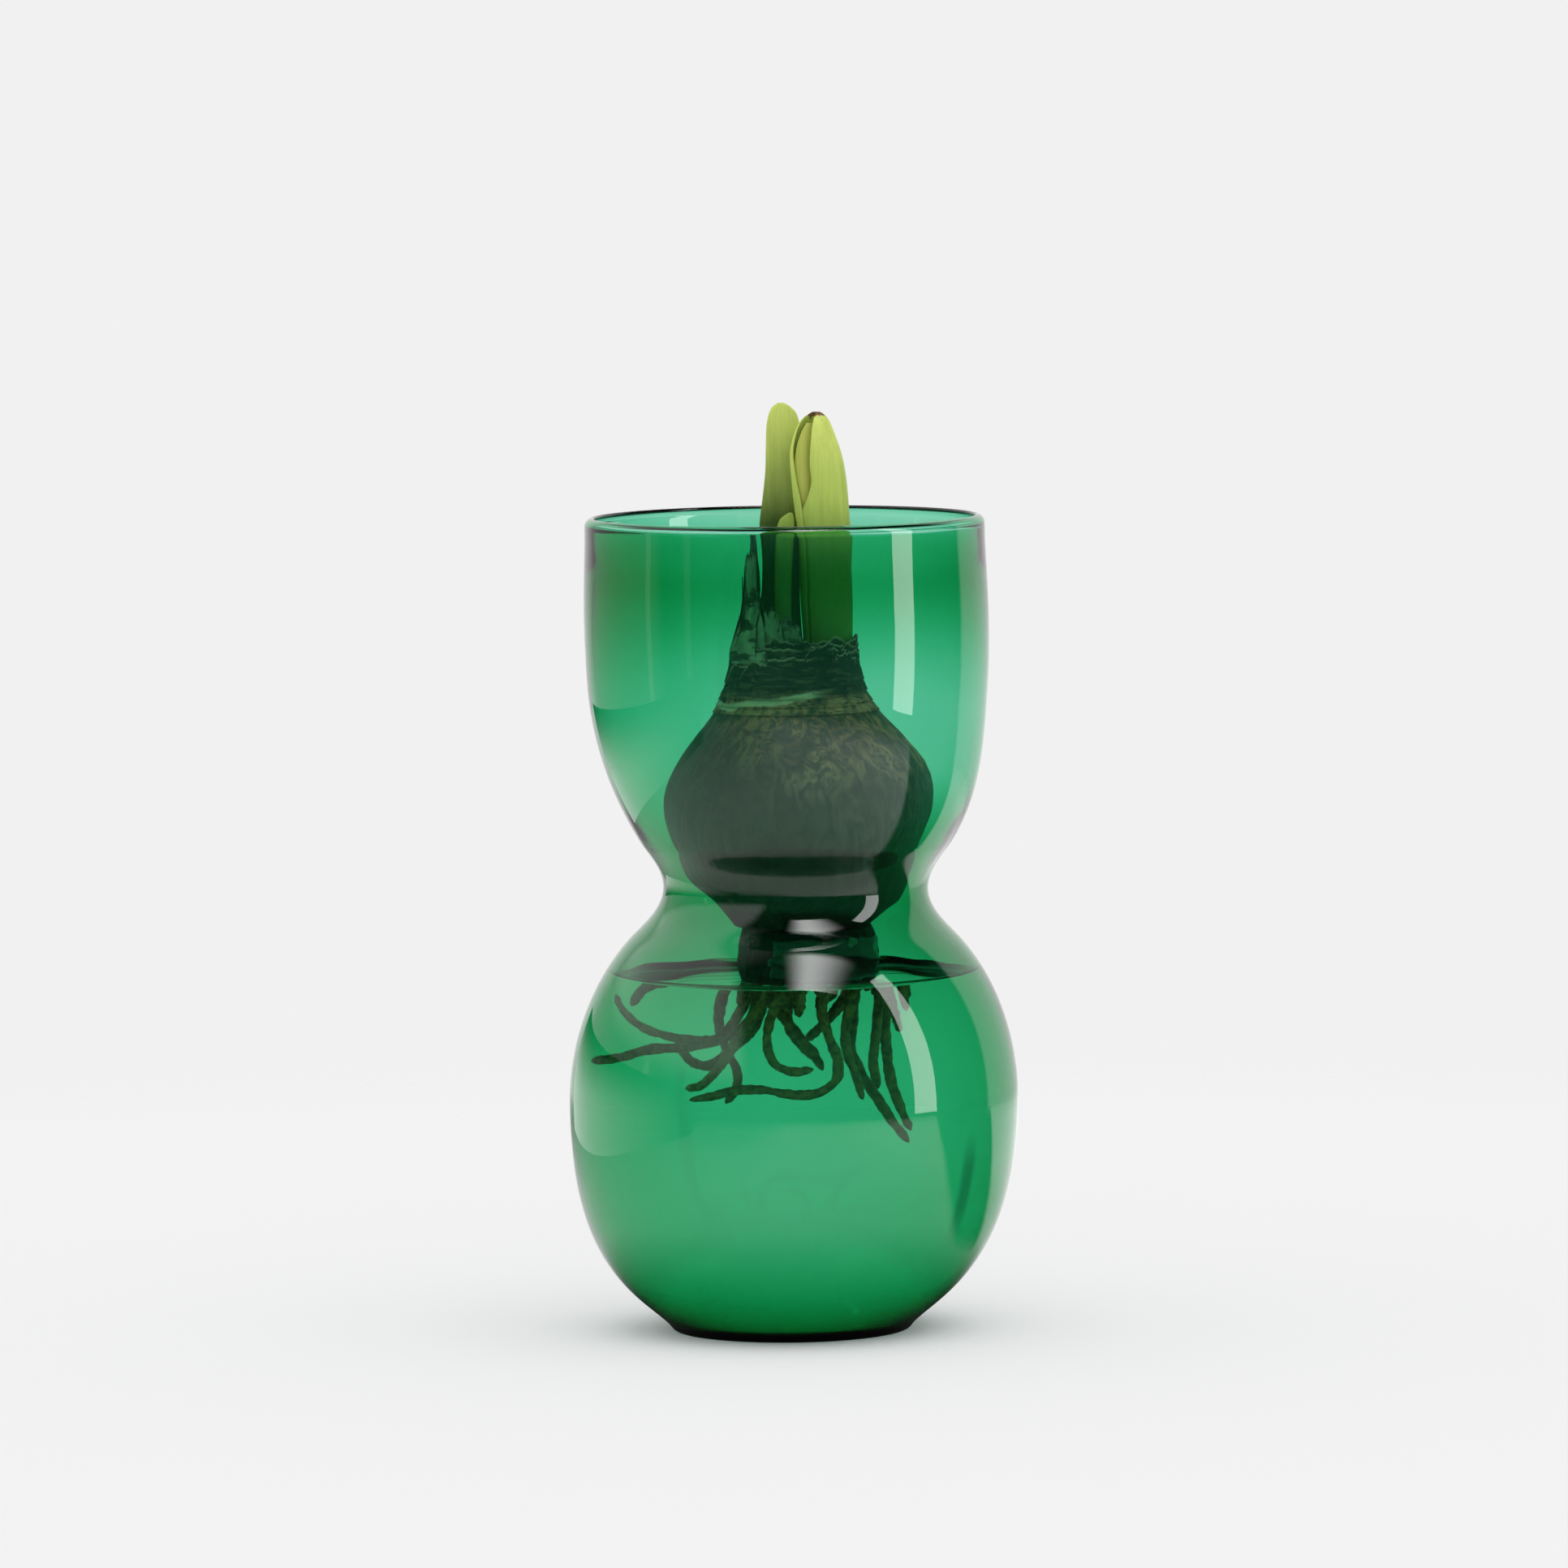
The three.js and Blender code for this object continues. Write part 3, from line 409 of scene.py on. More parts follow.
class Nodes:
    """The nodes of a material or a world while they are laid out."""

    # Sockets of a node that mixes colours: its share, both colours and its result
    mix_share, mix_first, mix_second, mix_colour = 0, 6, 7, 2

    def __init__(self, tree, output):
        self.tree = tree
        self.tree.nodes.clear()
        self.output = self.node(output)

    def node(self, kind, values=None, **settings):
        """Adds a node. Each value is set on a socket, or linked to it where it comes from another node."""
        made = self.tree.nodes.new("ShaderNode" + kind)
        for name, value in settings.items():
            setattr(made, name, value)
        for socket, value in (values or {}).items():
            if isinstance(value, bpy.types.NodeSocket):
                self.tree.links.new(value, made.inputs[socket])
            else:
                made.inputs[socket].default_value = value
        return made

    def spot(self, space="Object"):
        """The three parts of a place or a direction."""
        return self.node("SeparateXYZ", {"Vector": self.node("TexCoord").outputs[space]}).outputs

    def chain(self, operation, values):
        """Works a number out from several, from left to right."""
        total = values[0]
        for value in values[1:]:
            total = self.node("Math", {0: total, 1: value}, operation=operation).outputs[0]
        return total

    def plus(self, *values):
        return self.chain("ADD", values)

    def minus(self, *values):
        return self.chain("SUBTRACT", values)

    def times(self, *values):
        return self.chain("MULTIPLY", values)

    def most(self, *values):
        return self.chain("MAXIMUM", values)

    def line(self, value, low, high, start=0.0, end=1.0):
        """Goes evenly from start to end as a value goes from low to high."""
        return self.node("MapRange", {"Value": value, "From Min": low, "From Max": high, "To Min": start,
                                      "To Max": end}).outputs["Result"]

    def steps(self, value, low, high, top=1.0):
        """Goes smoothly from 0 to a top as a value goes from low to high."""
        return self.node("MapRange", {"Value": value, "From Min": low, "From Max": high, "To Max": top},
                         interpolation_type="SMOOTHSTEP").outputs["Result"]

    def band(self, value, start, full, fade, end, top=1.0):
        """Is at its top between full and fade, and 0 before its start and past its end."""
        return self.times(self.steps(value, start, full, top), self.steps(value, end, fade))

    def patch(self, spot, limits):
        """A patch with soft edges: each limit has an axis, and where the patch starts and is full."""
        return self.times(*(self.steps(spot[axis], start, full) for axis, start, full in limits))

    def light(self, grey, strength=1.0):
        return self.node("Emission", {"Color": (grey, grey, grey, 1), "Strength": strength}).outputs[0]

    def mix(self, share, first, second):
        return self.node("MixShader", {0: share, 1: first, 2: second}).outputs[0]

    def show(self, shader, socket="Surface"):
        self.tree.links.new(shader, self.output.inputs[socket])


class Finish(Nodes):
    """A procedural material while its nodes are laid out."""

    def __init__(self, name):
        self.material = bpy.data.materials.new(name)
        self.material.use_nodes = True
        super().__init__(self.material.node_tree, "OutputMaterial")

    def height(self, low, high):
        """Rises from 0 to 1 between two heights in metres."""
        return self.line(self.spot()["Z"], low, high)

    def grain(self, scale, detail=4.0, rough=0.55, stretch=(1, 1, 1), distortion=0.0):
        """Soft spots, drawn out along the axes with a small stretch."""
        spot = self.node("TexCoord").outputs["Object"]
        place = self.node("Mapping", {"Vector": spot, "Scale": stretch}).outputs["Vector"]
        return self.node("TexNoise", {"Vector": place, "Scale": scale, "Detail": detail, "Roughness": rough,
                                      "Distortion": distortion}).outputs["Fac"]

    def edge(self):
        """The edge value of the mesh's points."""
        return self.node("Attribute", attribute_name="edge").outputs["Fac"]

    def ramp(self, value, low, first, high, second):
        """Goes from a first colour at low to a second one at high."""
        made = self.node("ValToRGB", {"Fac": value})
        for element, place, colour in zip(made.color_ramp.elements, (low, high), (first, second)):
            element.position = place
            element.color = (*colour, 1)
        return made.outputs["Color"]

    def blend(self, share, first, second, mode="MIX"):
        """Mixes two colours by a share."""
        values = {self.mix_share: share}
        for socket, colour in ((self.mix_first, first), (self.mix_second, second)):
            values[socket] = colour if isinstance(colour, bpy.types.NodeSocket) else (*colour, 1)
        return self.node("Mix", values, data_type="RGBA", blend_type=mode).outputs[self.mix_colour]

    def principled(self, colour, roughness, relief, strength, depth, **more):
        """A surface with a colour, a roughness and a relief of a strength and a depth in metres."""
        bump = self.node("Bump", {"Height": relief, "Strength": strength, "Distance": depth})
        values = {"Base Color": colour, "Roughness": roughness, "Normal": bump.outputs["Normal"]}
        values.update({name.replace("_", " "): value for name, value in more.items()})
        self.show(self.node("BsdfPrincipled", values).outputs["BSDF"])
        return self


class GlassSettings(bpy.types.PropertyGroup):
    """Sizes and colour of the blown glass."""
    sides: IntProperty(name="Sides", description="Facets round the vase", default=160, min=24)
    waviness: FloatProperty(name="Waviness", description="How far the inner wall wanders from round",
                            default=0.00012, subtype="DISTANCE", unit="LENGTH")
    depth_of_colour: FloatProperty(name="Depth of colour", description="Light that glass takes, per metre",
                                   default=1060.0)
    colour: FloatVectorProperty(name="Colour", description="What the glass lets through", subtype="COLOR",
                                default=(0.0, 0.775, 0.53))
    veil: FloatVectorProperty(name="Veil", description="Light that each face lets through to dull things",
                              subtype="COLOR", default=(0.965, 0.995, 0.987))
    foot_veil: FloatVectorProperty(name="Foot veil", description="The same for the thick glass of the foot",
                                   subtype="COLOR", default=(0.34, 0.4, 0.37))


class WaterSettings(bpy.types.PropertyGroup):
    """Edge and colour of the water."""
    edge_rise: FloatProperty(name="Edge rise", description="How far the water climbs the wall",
                             default=0.0028, subtype="DISTANCE", unit="LENGTH")
    edge_reach: FloatProperty(name="Edge reach", description="How fast the climb dies out from the wall",
                              default=0.002, subtype="DISTANCE", unit="LENGTH")
    depth_of_colour: FloatProperty(name="Depth of colour", description="Light that water takes, per metre",
                                   default=2.0)
    colour: FloatVectorProperty(name="Colour", description="What the water lets through", subtype="COLOR",
                                default=(0.55, 0.9, 0.8))
    veil: FloatVectorProperty(name="Veil", description="Light that each face lets through to dull things",
                              subtype="COLOR", default=(0.985, 0.99, 0.99))


class BulbSettings(bpy.types.PropertyGroup):
    """Colours of the bulb and its skins."""
    # This colour shows in the pale patches, where it is partly painted light
    skin: FloatVectorProperty(name="Skin", description="Papery outer skin", subtype="COLOR",
                              default=srgb(172, 130, 90))
    skin_dark: FloatVectorProperty(name="Dark skin", description="Damp, stained part of the skin",
                                   subtype="COLOR", default=srgb(46, 42, 22))
    torn: FloatVectorProperty(name="Torn skin", description="Dry layers round the neck", subtype="COLOR",
                              default=srgb(40, 30, 18))
    torn_edge: FloatVectorProperty(name="Torn edge", description="Thin edges of the dry layers",
                                   subtype="COLOR", default=srgb(190, 168, 138))


class LeafSettings(bpy.types.PropertyGroup):
    """Colours of the shoots."""
    tip: FloatVectorProperty(name="Tip", description="Young end of a leaf", subtype="COLOR",
                             default=srgb(210, 224, 112))
    base: FloatVectorProperty(name="Base", description="Older, greener part of a leaf", subtype="COLOR",
                              default=srgb(112, 152, 30))
    shaded: FloatVectorProperty(name="Shaded base", description="Deep green foot of the left leaf",
                                subtype="COLOR", default=srgb(70, 100, 0))


class RootSettings(bpy.types.PropertyGroup):
    """Size and colour of the roots."""
    radius: FloatProperty(name="Radius", description="Radius of a root under the plate", default=0.00142,
                          subtype="DISTANCE", unit="LENGTH")
    colour: FloatVectorProperty(name="Colour", description="Wet fleshy roots", subtype="COLOR",
                                default=srgb(104, 92, 36))


class StageSettings(bpy.types.PropertyGroup):
    """Light round the vase."""
    backdrop: FloatProperty(name="Backdrop", description="Brightness of floor and backdrop", default=0.88)
    ambient: FloatProperty(name="Ambient", description="Light from all round on dull surfaces", default=0.87)
    key: FloatProperty(name="Key", description="Strength of the lamp overhead", default=0.49)
    strip: FloatProperty(name="Strip", description="Strength of the tall lamp that glass mirrors",
                         default=5.5)
    overhead: FloatProperty(name="Overhead", description="Strength of the card above that glass mirrors",
                            default=9.0)
    card: FloatProperty(name="Card", description="Strength of the low card that glass mirrors", default=1.3)
    mirrored_floor: FloatProperty(name="Mirrored floor", description="Glow of the floor as glass mirrors it",
                                  default=0.45)


def drift(height):
    """Sideways place of the vase's axis at a height."""
    if height <= DRIFT_PLACES[0][0]:
        return DRIFT_PLACES[0][1]
    for (low, low_drift), (high, high_drift) in zip(DRIFT_PLACES, DRIFT_PLACES[1:]):
        if height < high:
            return low_drift + (high_drift - low_drift) * ease((height - low) / (high - low))
    return DRIFT_PLACES[-1][1]


def leaning(lean):
    """The direction that leans outward from straight up, in degrees."""
    return Vector((math.sin(math.radians(lean)), math.cos(math.radians(lean))))


def stretch(start, end, start_lean, end_lean, start_pull, end_pull):
    """A smooth curve between two places that leaves and arrives at two leans."""
    start, end = Vector(start), Vector(end)
    chord = (end - start).length
    leave = start + leaning(start_lean) * chord * start_pull
    arrive = end - leaning(end_lean) * chord * end_pull

    def at(share):
        rest = 1 - share
        spot = start * rest ** 3 + leave * 3 * rest ** 2 * share
        spot += arrive * 3 * rest * share ** 2 + end * share ** 3
        way = (leave - start) * rest ** 2 + (arrive - leave) * 2 * rest * share + (end - arrive) * share ** 2
        return spot, way.normalized() if way.length > 0 else leaning(end_lean)

    return at


def wall_points(depth_share, extra=0.0):
    """The wall from the heel to the rim, moved in from the outer face by a share of its thickness."""
    points = []
    for number, (below, station) in enumerate(zip(WALL_STATIONS, WALL_STATIONS[1:])):
        curve = stretch(below[:2], station[:2], below[2], station[2], below[4], station[3])
        steps = station[5]
        for step in range(0 if number == 0 else 1, steps + 1):
            spot, way = curve(step / steps)
            wall = row_at(WALL_ROWS, spot.y)[0]
            points.append(spot + Vector((-way.y, way.x)) * (wall * depth_share + extra))
    return points


def floor_points(edge, extra=0.0):
    """The floor of the globe, from the axis to the foot of the inner wall."""
    curve = stretch((0, FLOOR_THICKNESS + extra), edge, LEVEL, WALL_STATIONS[0][2], 0.5, 0.15)
    return [curve(step / FLOOR_STEPS)[0] for step in range(FLOOR_STEPS)]


def foot_points():
    """The underside: a shallow punt, the flat ring that the vase stands on and the rounded heel."""
    heel = WALL_STATIONS[0]
    punt = stretch((0, PUNT_DEPTH), (GROUND_RADIUS - RING_WIDTH, 0), LEVEL, LEVEL, 0.4, 0.3)
    edge = stretch((GROUND_RADIUS, 0), heel[:2], LEVEL, heel[2], 0.35, 0.35)
    return ([punt(step / PUNT_STEPS)[0] for step in range(PUNT_STEPS + 1)]
            + [edge(step / HEEL_STEPS)[0] for step in range(HEEL_STEPS)])


def rim_points():
    """The thin rim, which turns inward over the mouth and ends in a rounded edge."""
    radius, height = WALL_STATIONS[-1][:2]
    centre = Vector((radius - RIM_TURN_RADIUS, height))
    full = math.radians(RIM_TURN)

    def at(middle, reach, turn):
        return middle + Vector((math.cos(turn), math.sin(turn))) * reach

    turns = [full * step / RIM_STEPS for step in range(1, RIM_STEPS + 1)]
    edge = at(centre, RIM_TURN_RADIUS - RIM_WALL / 2, full)
    outer = [at(centre, RIM_TURN_RADIUS, turn) for turn in turns]
    tip = [at(edge, RIM_WALL / 2, full + math.pi * step / TIP_STEPS) for step in range(1, TIP_STEPS)]
    inner = [at(centre, RIM_TURN_RADIUS - RIM_WALL, turn) for turn in reversed(turns)]
    return outer + tip + inner


def clear_finish(name, index, settings, foot_veil):
    """Clear glass or water whose tint grows with its depth, and which only veils light on dull things."""
    finish = Finish(name)
    path = finish.node("LightPath").outputs
    clear = finish.node("BsdfPrincipled", {
        "Base Color": (1, 1, 1, 1), "Roughness": 0, "IOR": index, "Transmission Weight": 1}).outputs[0]
    veil = finish.ramp(finish.height(*FOOT_FADE), 0, foot_veil, 1, settings.veil)
    through = finish.node("BsdfTransparent", {"Color": veil}).outputs[0]
    dull = finish.most(path["Is Shadow Ray"], path["Is Diffuse Ray"])
    density = finish.times(finish.minus(1, dull), settings.depth_of_colour)
    depth = finish.node("VolumeAbsorption", {"Color": (*settings.colour, 1), "Density": density}).outputs[0]
    finish.show(finish.mix(dull, clear, through))
    finish.show(depth, "Volume")
    return finish


class VASE_OT_blow_glass(bpy.types.Operator):
    """Blow the glass vase: foot, globe, waist, cup and rim in one wall"""
    bl_idname = "bulb_vase.blow_glass"
    bl_label = "Blow Glass"

    refraction = 1.5
    outer_waves = 0.25

    def execute(self, context):
        settings = context.scene.vase_glass
        inner_wall = wall_points(1)
        outer = [(spot, False) for spot in foot_points() + wall_points(0) + rim_points()]
        inner = [(spot, True) for spot in inner_wall[::-1] + floor_points(inner_wall[0])[::-1]]
        waviness = settings.waviness / MM

        def place(entry, turn):
            (radius, height), is_inner = entry
            if radius > 1 and height > 0.5:
                swell = round_wave(3, turn, 2, height / 26) + 0.6 * round_wave(5, turn, 5, height / 14)
                radius += waviness * (1 if is_inner else self.outer_waves) * swell
            off = drift(height)
            if is_inner:
                risen = (height - CUP_SHIFT_START) / (CUP_SHIFT_FULL - CUP_SHIFT_START)
                off += CUP_SHIFT * ease(clamp(risen))
            else:
                for mark, depth, width in TOOL_MARKS:
                    radius -= depth * math.exp(-((height - mark) / width) ** 2)
            return radius * math.cos(turn) + off, radius * math.sin(turn), height

        glass = Surface()
        glass.turned(outer + inner, settings.sides, place)
        finish = clear_finish("green_blown_glass", self.refraction, settings, settings.foot_veil)
        glass.piece("vase_glass", finish, "vase", ["glass_vase"], "green_glass")
        return {"FINISHED"}


class VASE_OT_pour_water(bpy.types.Operator):
    """Pour the water into the globe, with the edge that climbs the wall"""
    bl_idname = "bulb_vase.pour_water"
    bl_label = "Pour Water"

    refraction = 1.333
    overlap = -0.15
    cad_rise = 2.4
    edge_steps = 40
    edge_width = 14
    middle_radii = (20, 8, 0)

    def execute(self, context):
        settings = context.scene.vase_water
        rise, reach = settings.edge_rise / MM, settings.edge_reach / MM
        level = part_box("water")[1].z / MM - self.cad_rise
        wall = wall_points(1, self.overlap)
        kept = [spot for spot in wall if spot.y < level + rise]
        above = wall[len(kept)]
        contact = kept[-1].lerp(above, (level + rise - kept[-1].y) / (above.y - kept[-1].y))
        profile = floor_points(kept[0], self.overlap) + kept + [contact]
        for step in range(1, self.edge_steps):
            away = self.edge_width * (step / self.edge_steps) ** 2
            profile.append(Vector((contact.x - away, level + rise * math.exp(-away / reach))))
        profile += [Vector((radius, level)) for radius in self.middle_radii]

        def place(spot, turn):
            return spot.x * math.cos(turn) + drift(spot.y), spot.x * math.sin(turn), spot.y

        water = Surface()
        water.turned(profile, context.scene.vase_glass.sides, place)
        finish = clear_finish("still_water", self.refraction, settings, settings.veil)
        water.piece("vase_water", finish, "vase", ["water"], "water")
        return {"FINISHED"}


def bulb_place():
    """The bulb's axis and the height of its base, in millimetres, from its CAD solid."""
    low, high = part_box("bulb_body")
    row = max(BULB_ROWS, key=lambda entry: entry[1])
    axis = (low.x + high.x) / 2 / MM - BULB_RADIUS * row[2]
    return axis, low.z / MM


BULB_AXIS, BULB_BASE = bulb_place()
PLATE_AXIS = BULB_AXIS + PLATE_OFFSET


def bulb_surface(share, turn, proud):
    """A point on the bulb, or proud of it, at a share of its length and an angle."""
    radius, lean, depth = row_at(BULB_ROWS, share)
    reach = BULB_RADIUS * radius * (1 + (depth - 1) * math.sin(turn) ** 2) + proud
    return (BULB_AXIS + BULB_RADIUS * lean + reach * math.cos(turn), reach * math.sin(turn),
            BULB_BASE + BULB_LENGTH * share)


def grid_rings(rows, sides, at):
    """Level rings round an axis, from a place for each share of the height and each angle."""
    return [[at(row / rows, 2 * math.pi * side / sides) for side in range(sides)] for row in range(rows + 1)]


def bulb_finish(skin, skin_dark):
    """Papery skin: pale, with painted light, at the shoulder, brown at the neck, stained below, with veins
    and wrinkles.
    """
    finish = Finish("papery_bulb_skin")
    veins = finish.grain(900, 3, 0.6, (1, 1, 0.08))
    wrinkles = finish.grain(230, 6, 0.7, (1, 1, 0.45), 1.2)
    stains = finish.grain(60, 4, 0.6)
    pleats = finish.grain(420, 4, 0.6, (1, 1, 0.12))
    spot = finish.spot()
    # The shoulder patch is paler skin with painted light on the upper right shoulder
    pale = finish.most(finish.patch(spot, LIT_PALE_SHOULDER), finish.times(finish.patch(spot, PALE_SIDE), 0.16))
    pale = finish.times(pale, finish.steps(stains, 0.3, 0.62))
    colour = finish.blend(pale, skin_dark, skin)
    colour = finish.blend(finish.times(finish.patch(spot, BROWN_NECK), 0.85), colour, srgb(134, 86, 46))
    creases = finish.times(finish.steps(pleats, 0.5, 0.4), finish.patch(spot, PLEATED_NECK), 0.7)
    colour = finish.blend(creases, colour, srgb(48, 34, 20))
    dents = finish.times(finish.steps(wrinkles, 0.58, 0.42), 0.85)
    colour = finish.blend(dents, colour, darker(skin_dark, 0.3))
    colour = finish.blend(0.4, colour, finish.ramp(veins, 0.3, (0.25, 0.25, 0.25), 0.7, WHITE), "MULTIPLY")
    return finish.principled(colour, 0.55, finish.plus(wrinkles, veins, pleats), 0.5, 0.0006)


class VASE_OT_grow_bulb(bpy.types.Operator):
    """Grow the bulb, with its papery wrinkled skin"""
    bl_idname = "bulb_vase.grow_bulb"
    bl_label = "Grow Bulb"

    sides = 128
    rows = 120
    calm_base = 0.06
    calm_top = 0.08
    sunk = 0.15

    def execute(self, context):
        colours = context.scene.vase_bulb

        def place(share, turn):
            calm = clamp(share / self.calm_base) * clamp((1 - share) / self.calm_top)
            swell = 0.45 * round_wave(11, turn, 3, 3 * share) + 0.2 * round_wave(12, turn, 12, share)
            crease = 0.25 * abs(round_wave(13, turn, 3, 26 * share))
            return bulb_surface(share, turn, (swell - crease) * calm - self.sunk)

        body = Surface()
        body.rings(grid_rings(self.rows, self.sides, place))
        finish = bulb_finish(colours.skin[:], colours.skin_dark[:])
        body.piece("bulb_flesh", finish, "bulb", ["bulb_body"], "bulb_skin")
        return {"FINISHED"}


class VASE_OT_cut_plate(bpy.types.Operator):
    """Form the basal plate that the roots grow from, and the wet scale that clings to it"""
    bl_idname = "bulb_vase.cut_plate"
    bl_label = "Form Basal Plate"

    sides = 120
    rows = 36
    sunk = 0.25
    scale_angles = (-118, -22)
    scale_gap = 0.45
    scale_edge = 0.25
    scale_swell = 0.55

    def execute(self, context):
        self.plate()
        self.scale()
        return {"FINISHED"}

    def plate(self):
        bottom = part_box("basal_plate")[0].z / MM

        def place(share, turn):
            radius = PLATE_RADIUS * row_at(PLATE_ROWS, share)[0] - self.sunk
            radius -= 0.9 * abs(round_wave(21, turn, 9, 0.8 * share))
            radius -= 0.35 * round_wave(22, turn, 3, 5 * share)
            ragged = max(0.7 * round_wave(23, turn, 6), 0) if share == 0 else 0
            return (PLATE_AXIS + radius * math.cos(turn), radius * math.sin(turn),
                    bottom + PLATE_LENGTH * share + ragged)

        plate = Surface()
        plate.rings(grid_rings(self.rows, self.sides, place))
        finish = Finish("corky_plate")
        ridges = finish.grain(420, 4, 0.6, (1, 1, 0.25))
        colour = finish.ramp(ridges, 0.3, srgb(8, 7, 6), 0.7, srgb(34, 28, 20))
        finish.principled(colour, 0.6, ridges, 0.7, 0.0008)
        plate.piece("corky_plate", finish, "bulb", ["basal_plate"], "basal_plate")

    def scale(self):
        low, high = (corner.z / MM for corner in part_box("wet_scale"))
        start, end = self.scale_angles

        def place(share, rise):
            edge = ends(share, 6)
            torn = (2 * share - 1) ** 5 * (0.16 * wave(37, 4 * rise) + 0.06 * wave(39, 15 * rise))
            turn = math.radians(start + (end - start) * share) + torn
            ragged = (1.6 * wave(31, 9 * share) + 0.8 * wave(35, 31 * share)) * (2 * rise - 1) ** 3
            height = (low + high) / 2 + (high - low) * (0.8 + 0.14 * edge) * (rise - 0.5) + ragged * 0.6
            near = PLATE_RADIUS + self.scale_gap + 0.35 * wave(32, 6 * share, 3 * rise)
            swell = self.scale_swell * edge * math.sin(math.pi * clamp(rise, 0.08, 0.92))
            far = near + self.scale_edge + swell
            return [(PLATE_AXIS + reach * math.cos(turn), reach * math.sin(turn), height)
                    for reach in (near, far)], 0.0

        scale = Surface()
        scale.sheet(48, 12, place)
        finish = Finish("wet_glossy_scale")
        patches = finish.grain(160, 4, 0.6)
        colour = finish.ramp(patches, 0.35, srgb(8, 7, 6), 0.65, srgb(34, 30, 24))
        finish.principled(colour, 0.18, patches, 0.4, 0.0008, Coat_Weight=0.8, Coat_Roughness=0.06)
        scale.piece("wet_scale_leaf", finish, "bulb", ["wet_scale"], "wet_scale")


def torn_finish(body, edge):
    """Dry, wrinkled skin, smoother and paler low down, with one pale torn scale and a thin pale edge."""
    finish = Finish("dry_torn_skin")
    wrinkles = finish.grain(300, 6, 0.7, (0.35, 0.35, 2.0), 1.2)
    patches = finish.grain(90, 3, 0.5)
    pleats = finish.grain(420, 4, 0.6, (1, 1, 0.12))
    spot = finish.spot()
    dry = finish.ramp(patches, 0.32, darker(body, 0.35), 0.66, body)
    smooth = finish.ramp(pleats, 0.36, srgb(70, 52, 30), 0.56, srgb(150, 112, 72))
    colour = finish.blend(finish.steps(spot["Z"], *SMOOTH_SKIN_TOP), smooth, dry)
    streaks = finish.times(finish.band(wrinkles, 0.53, 0.58, 0.6, 0.66), 0.45)
    colour = finish.blend(streaks, colour, srgb(108, 88, 54))
    colour = finish.blend(finish.steps(wrinkles, 0.5, 0.34), colour, darker(body, 0.2))
    rise = finish.plus(finish.minus(spot["Z"], finish.times(spot["X"], 0.12)), finish.times(patches, 0.004))
    pale = finish.times(finish.band(rise, *PALE_SCALE_HEIGHTS), finish.patch(spot, PALE_SCALE), 0.7)
    colour = finish.blend(pale, colour, srgb(168, 172, 132))
    frayed = finish.times(finish.steps(finish.edge(), 0.88, 1.0), finish.steps(patches, 0.36, 0.5), 0.5)
    colour = finish.blend(frayed, colour, edge)
    return finish.principled(colour, 0.7, wrinkles, 1.0, 0.0011)


def sheath_finish():
    """Grey green paper in bands, with brown patches and brown edges."""
    finish = Finish("papery_sheath")
    bands = finish.grain(160, 4, 0.6, (1, 1, 0.5), 0.6)
    patches = finish.grain(110, 3, 0.5, (0.6, 0.6, 2.0))
    colour = finish.ramp(bands, 0.35, srgb(70, 72, 52), 0.65, srgb(124, 128, 96))
    colour = finish.blend(finish.steps(patches, 0.5, 0.56), colour, srgb(42, 28, 18))
    colour = finish.blend(finish.steps(finish.edge(), 0.55, 1.0), colour, srgb(58, 40, 26))
    return finish.principled(colour, 0.6, bands, 0.6, 0.0005)


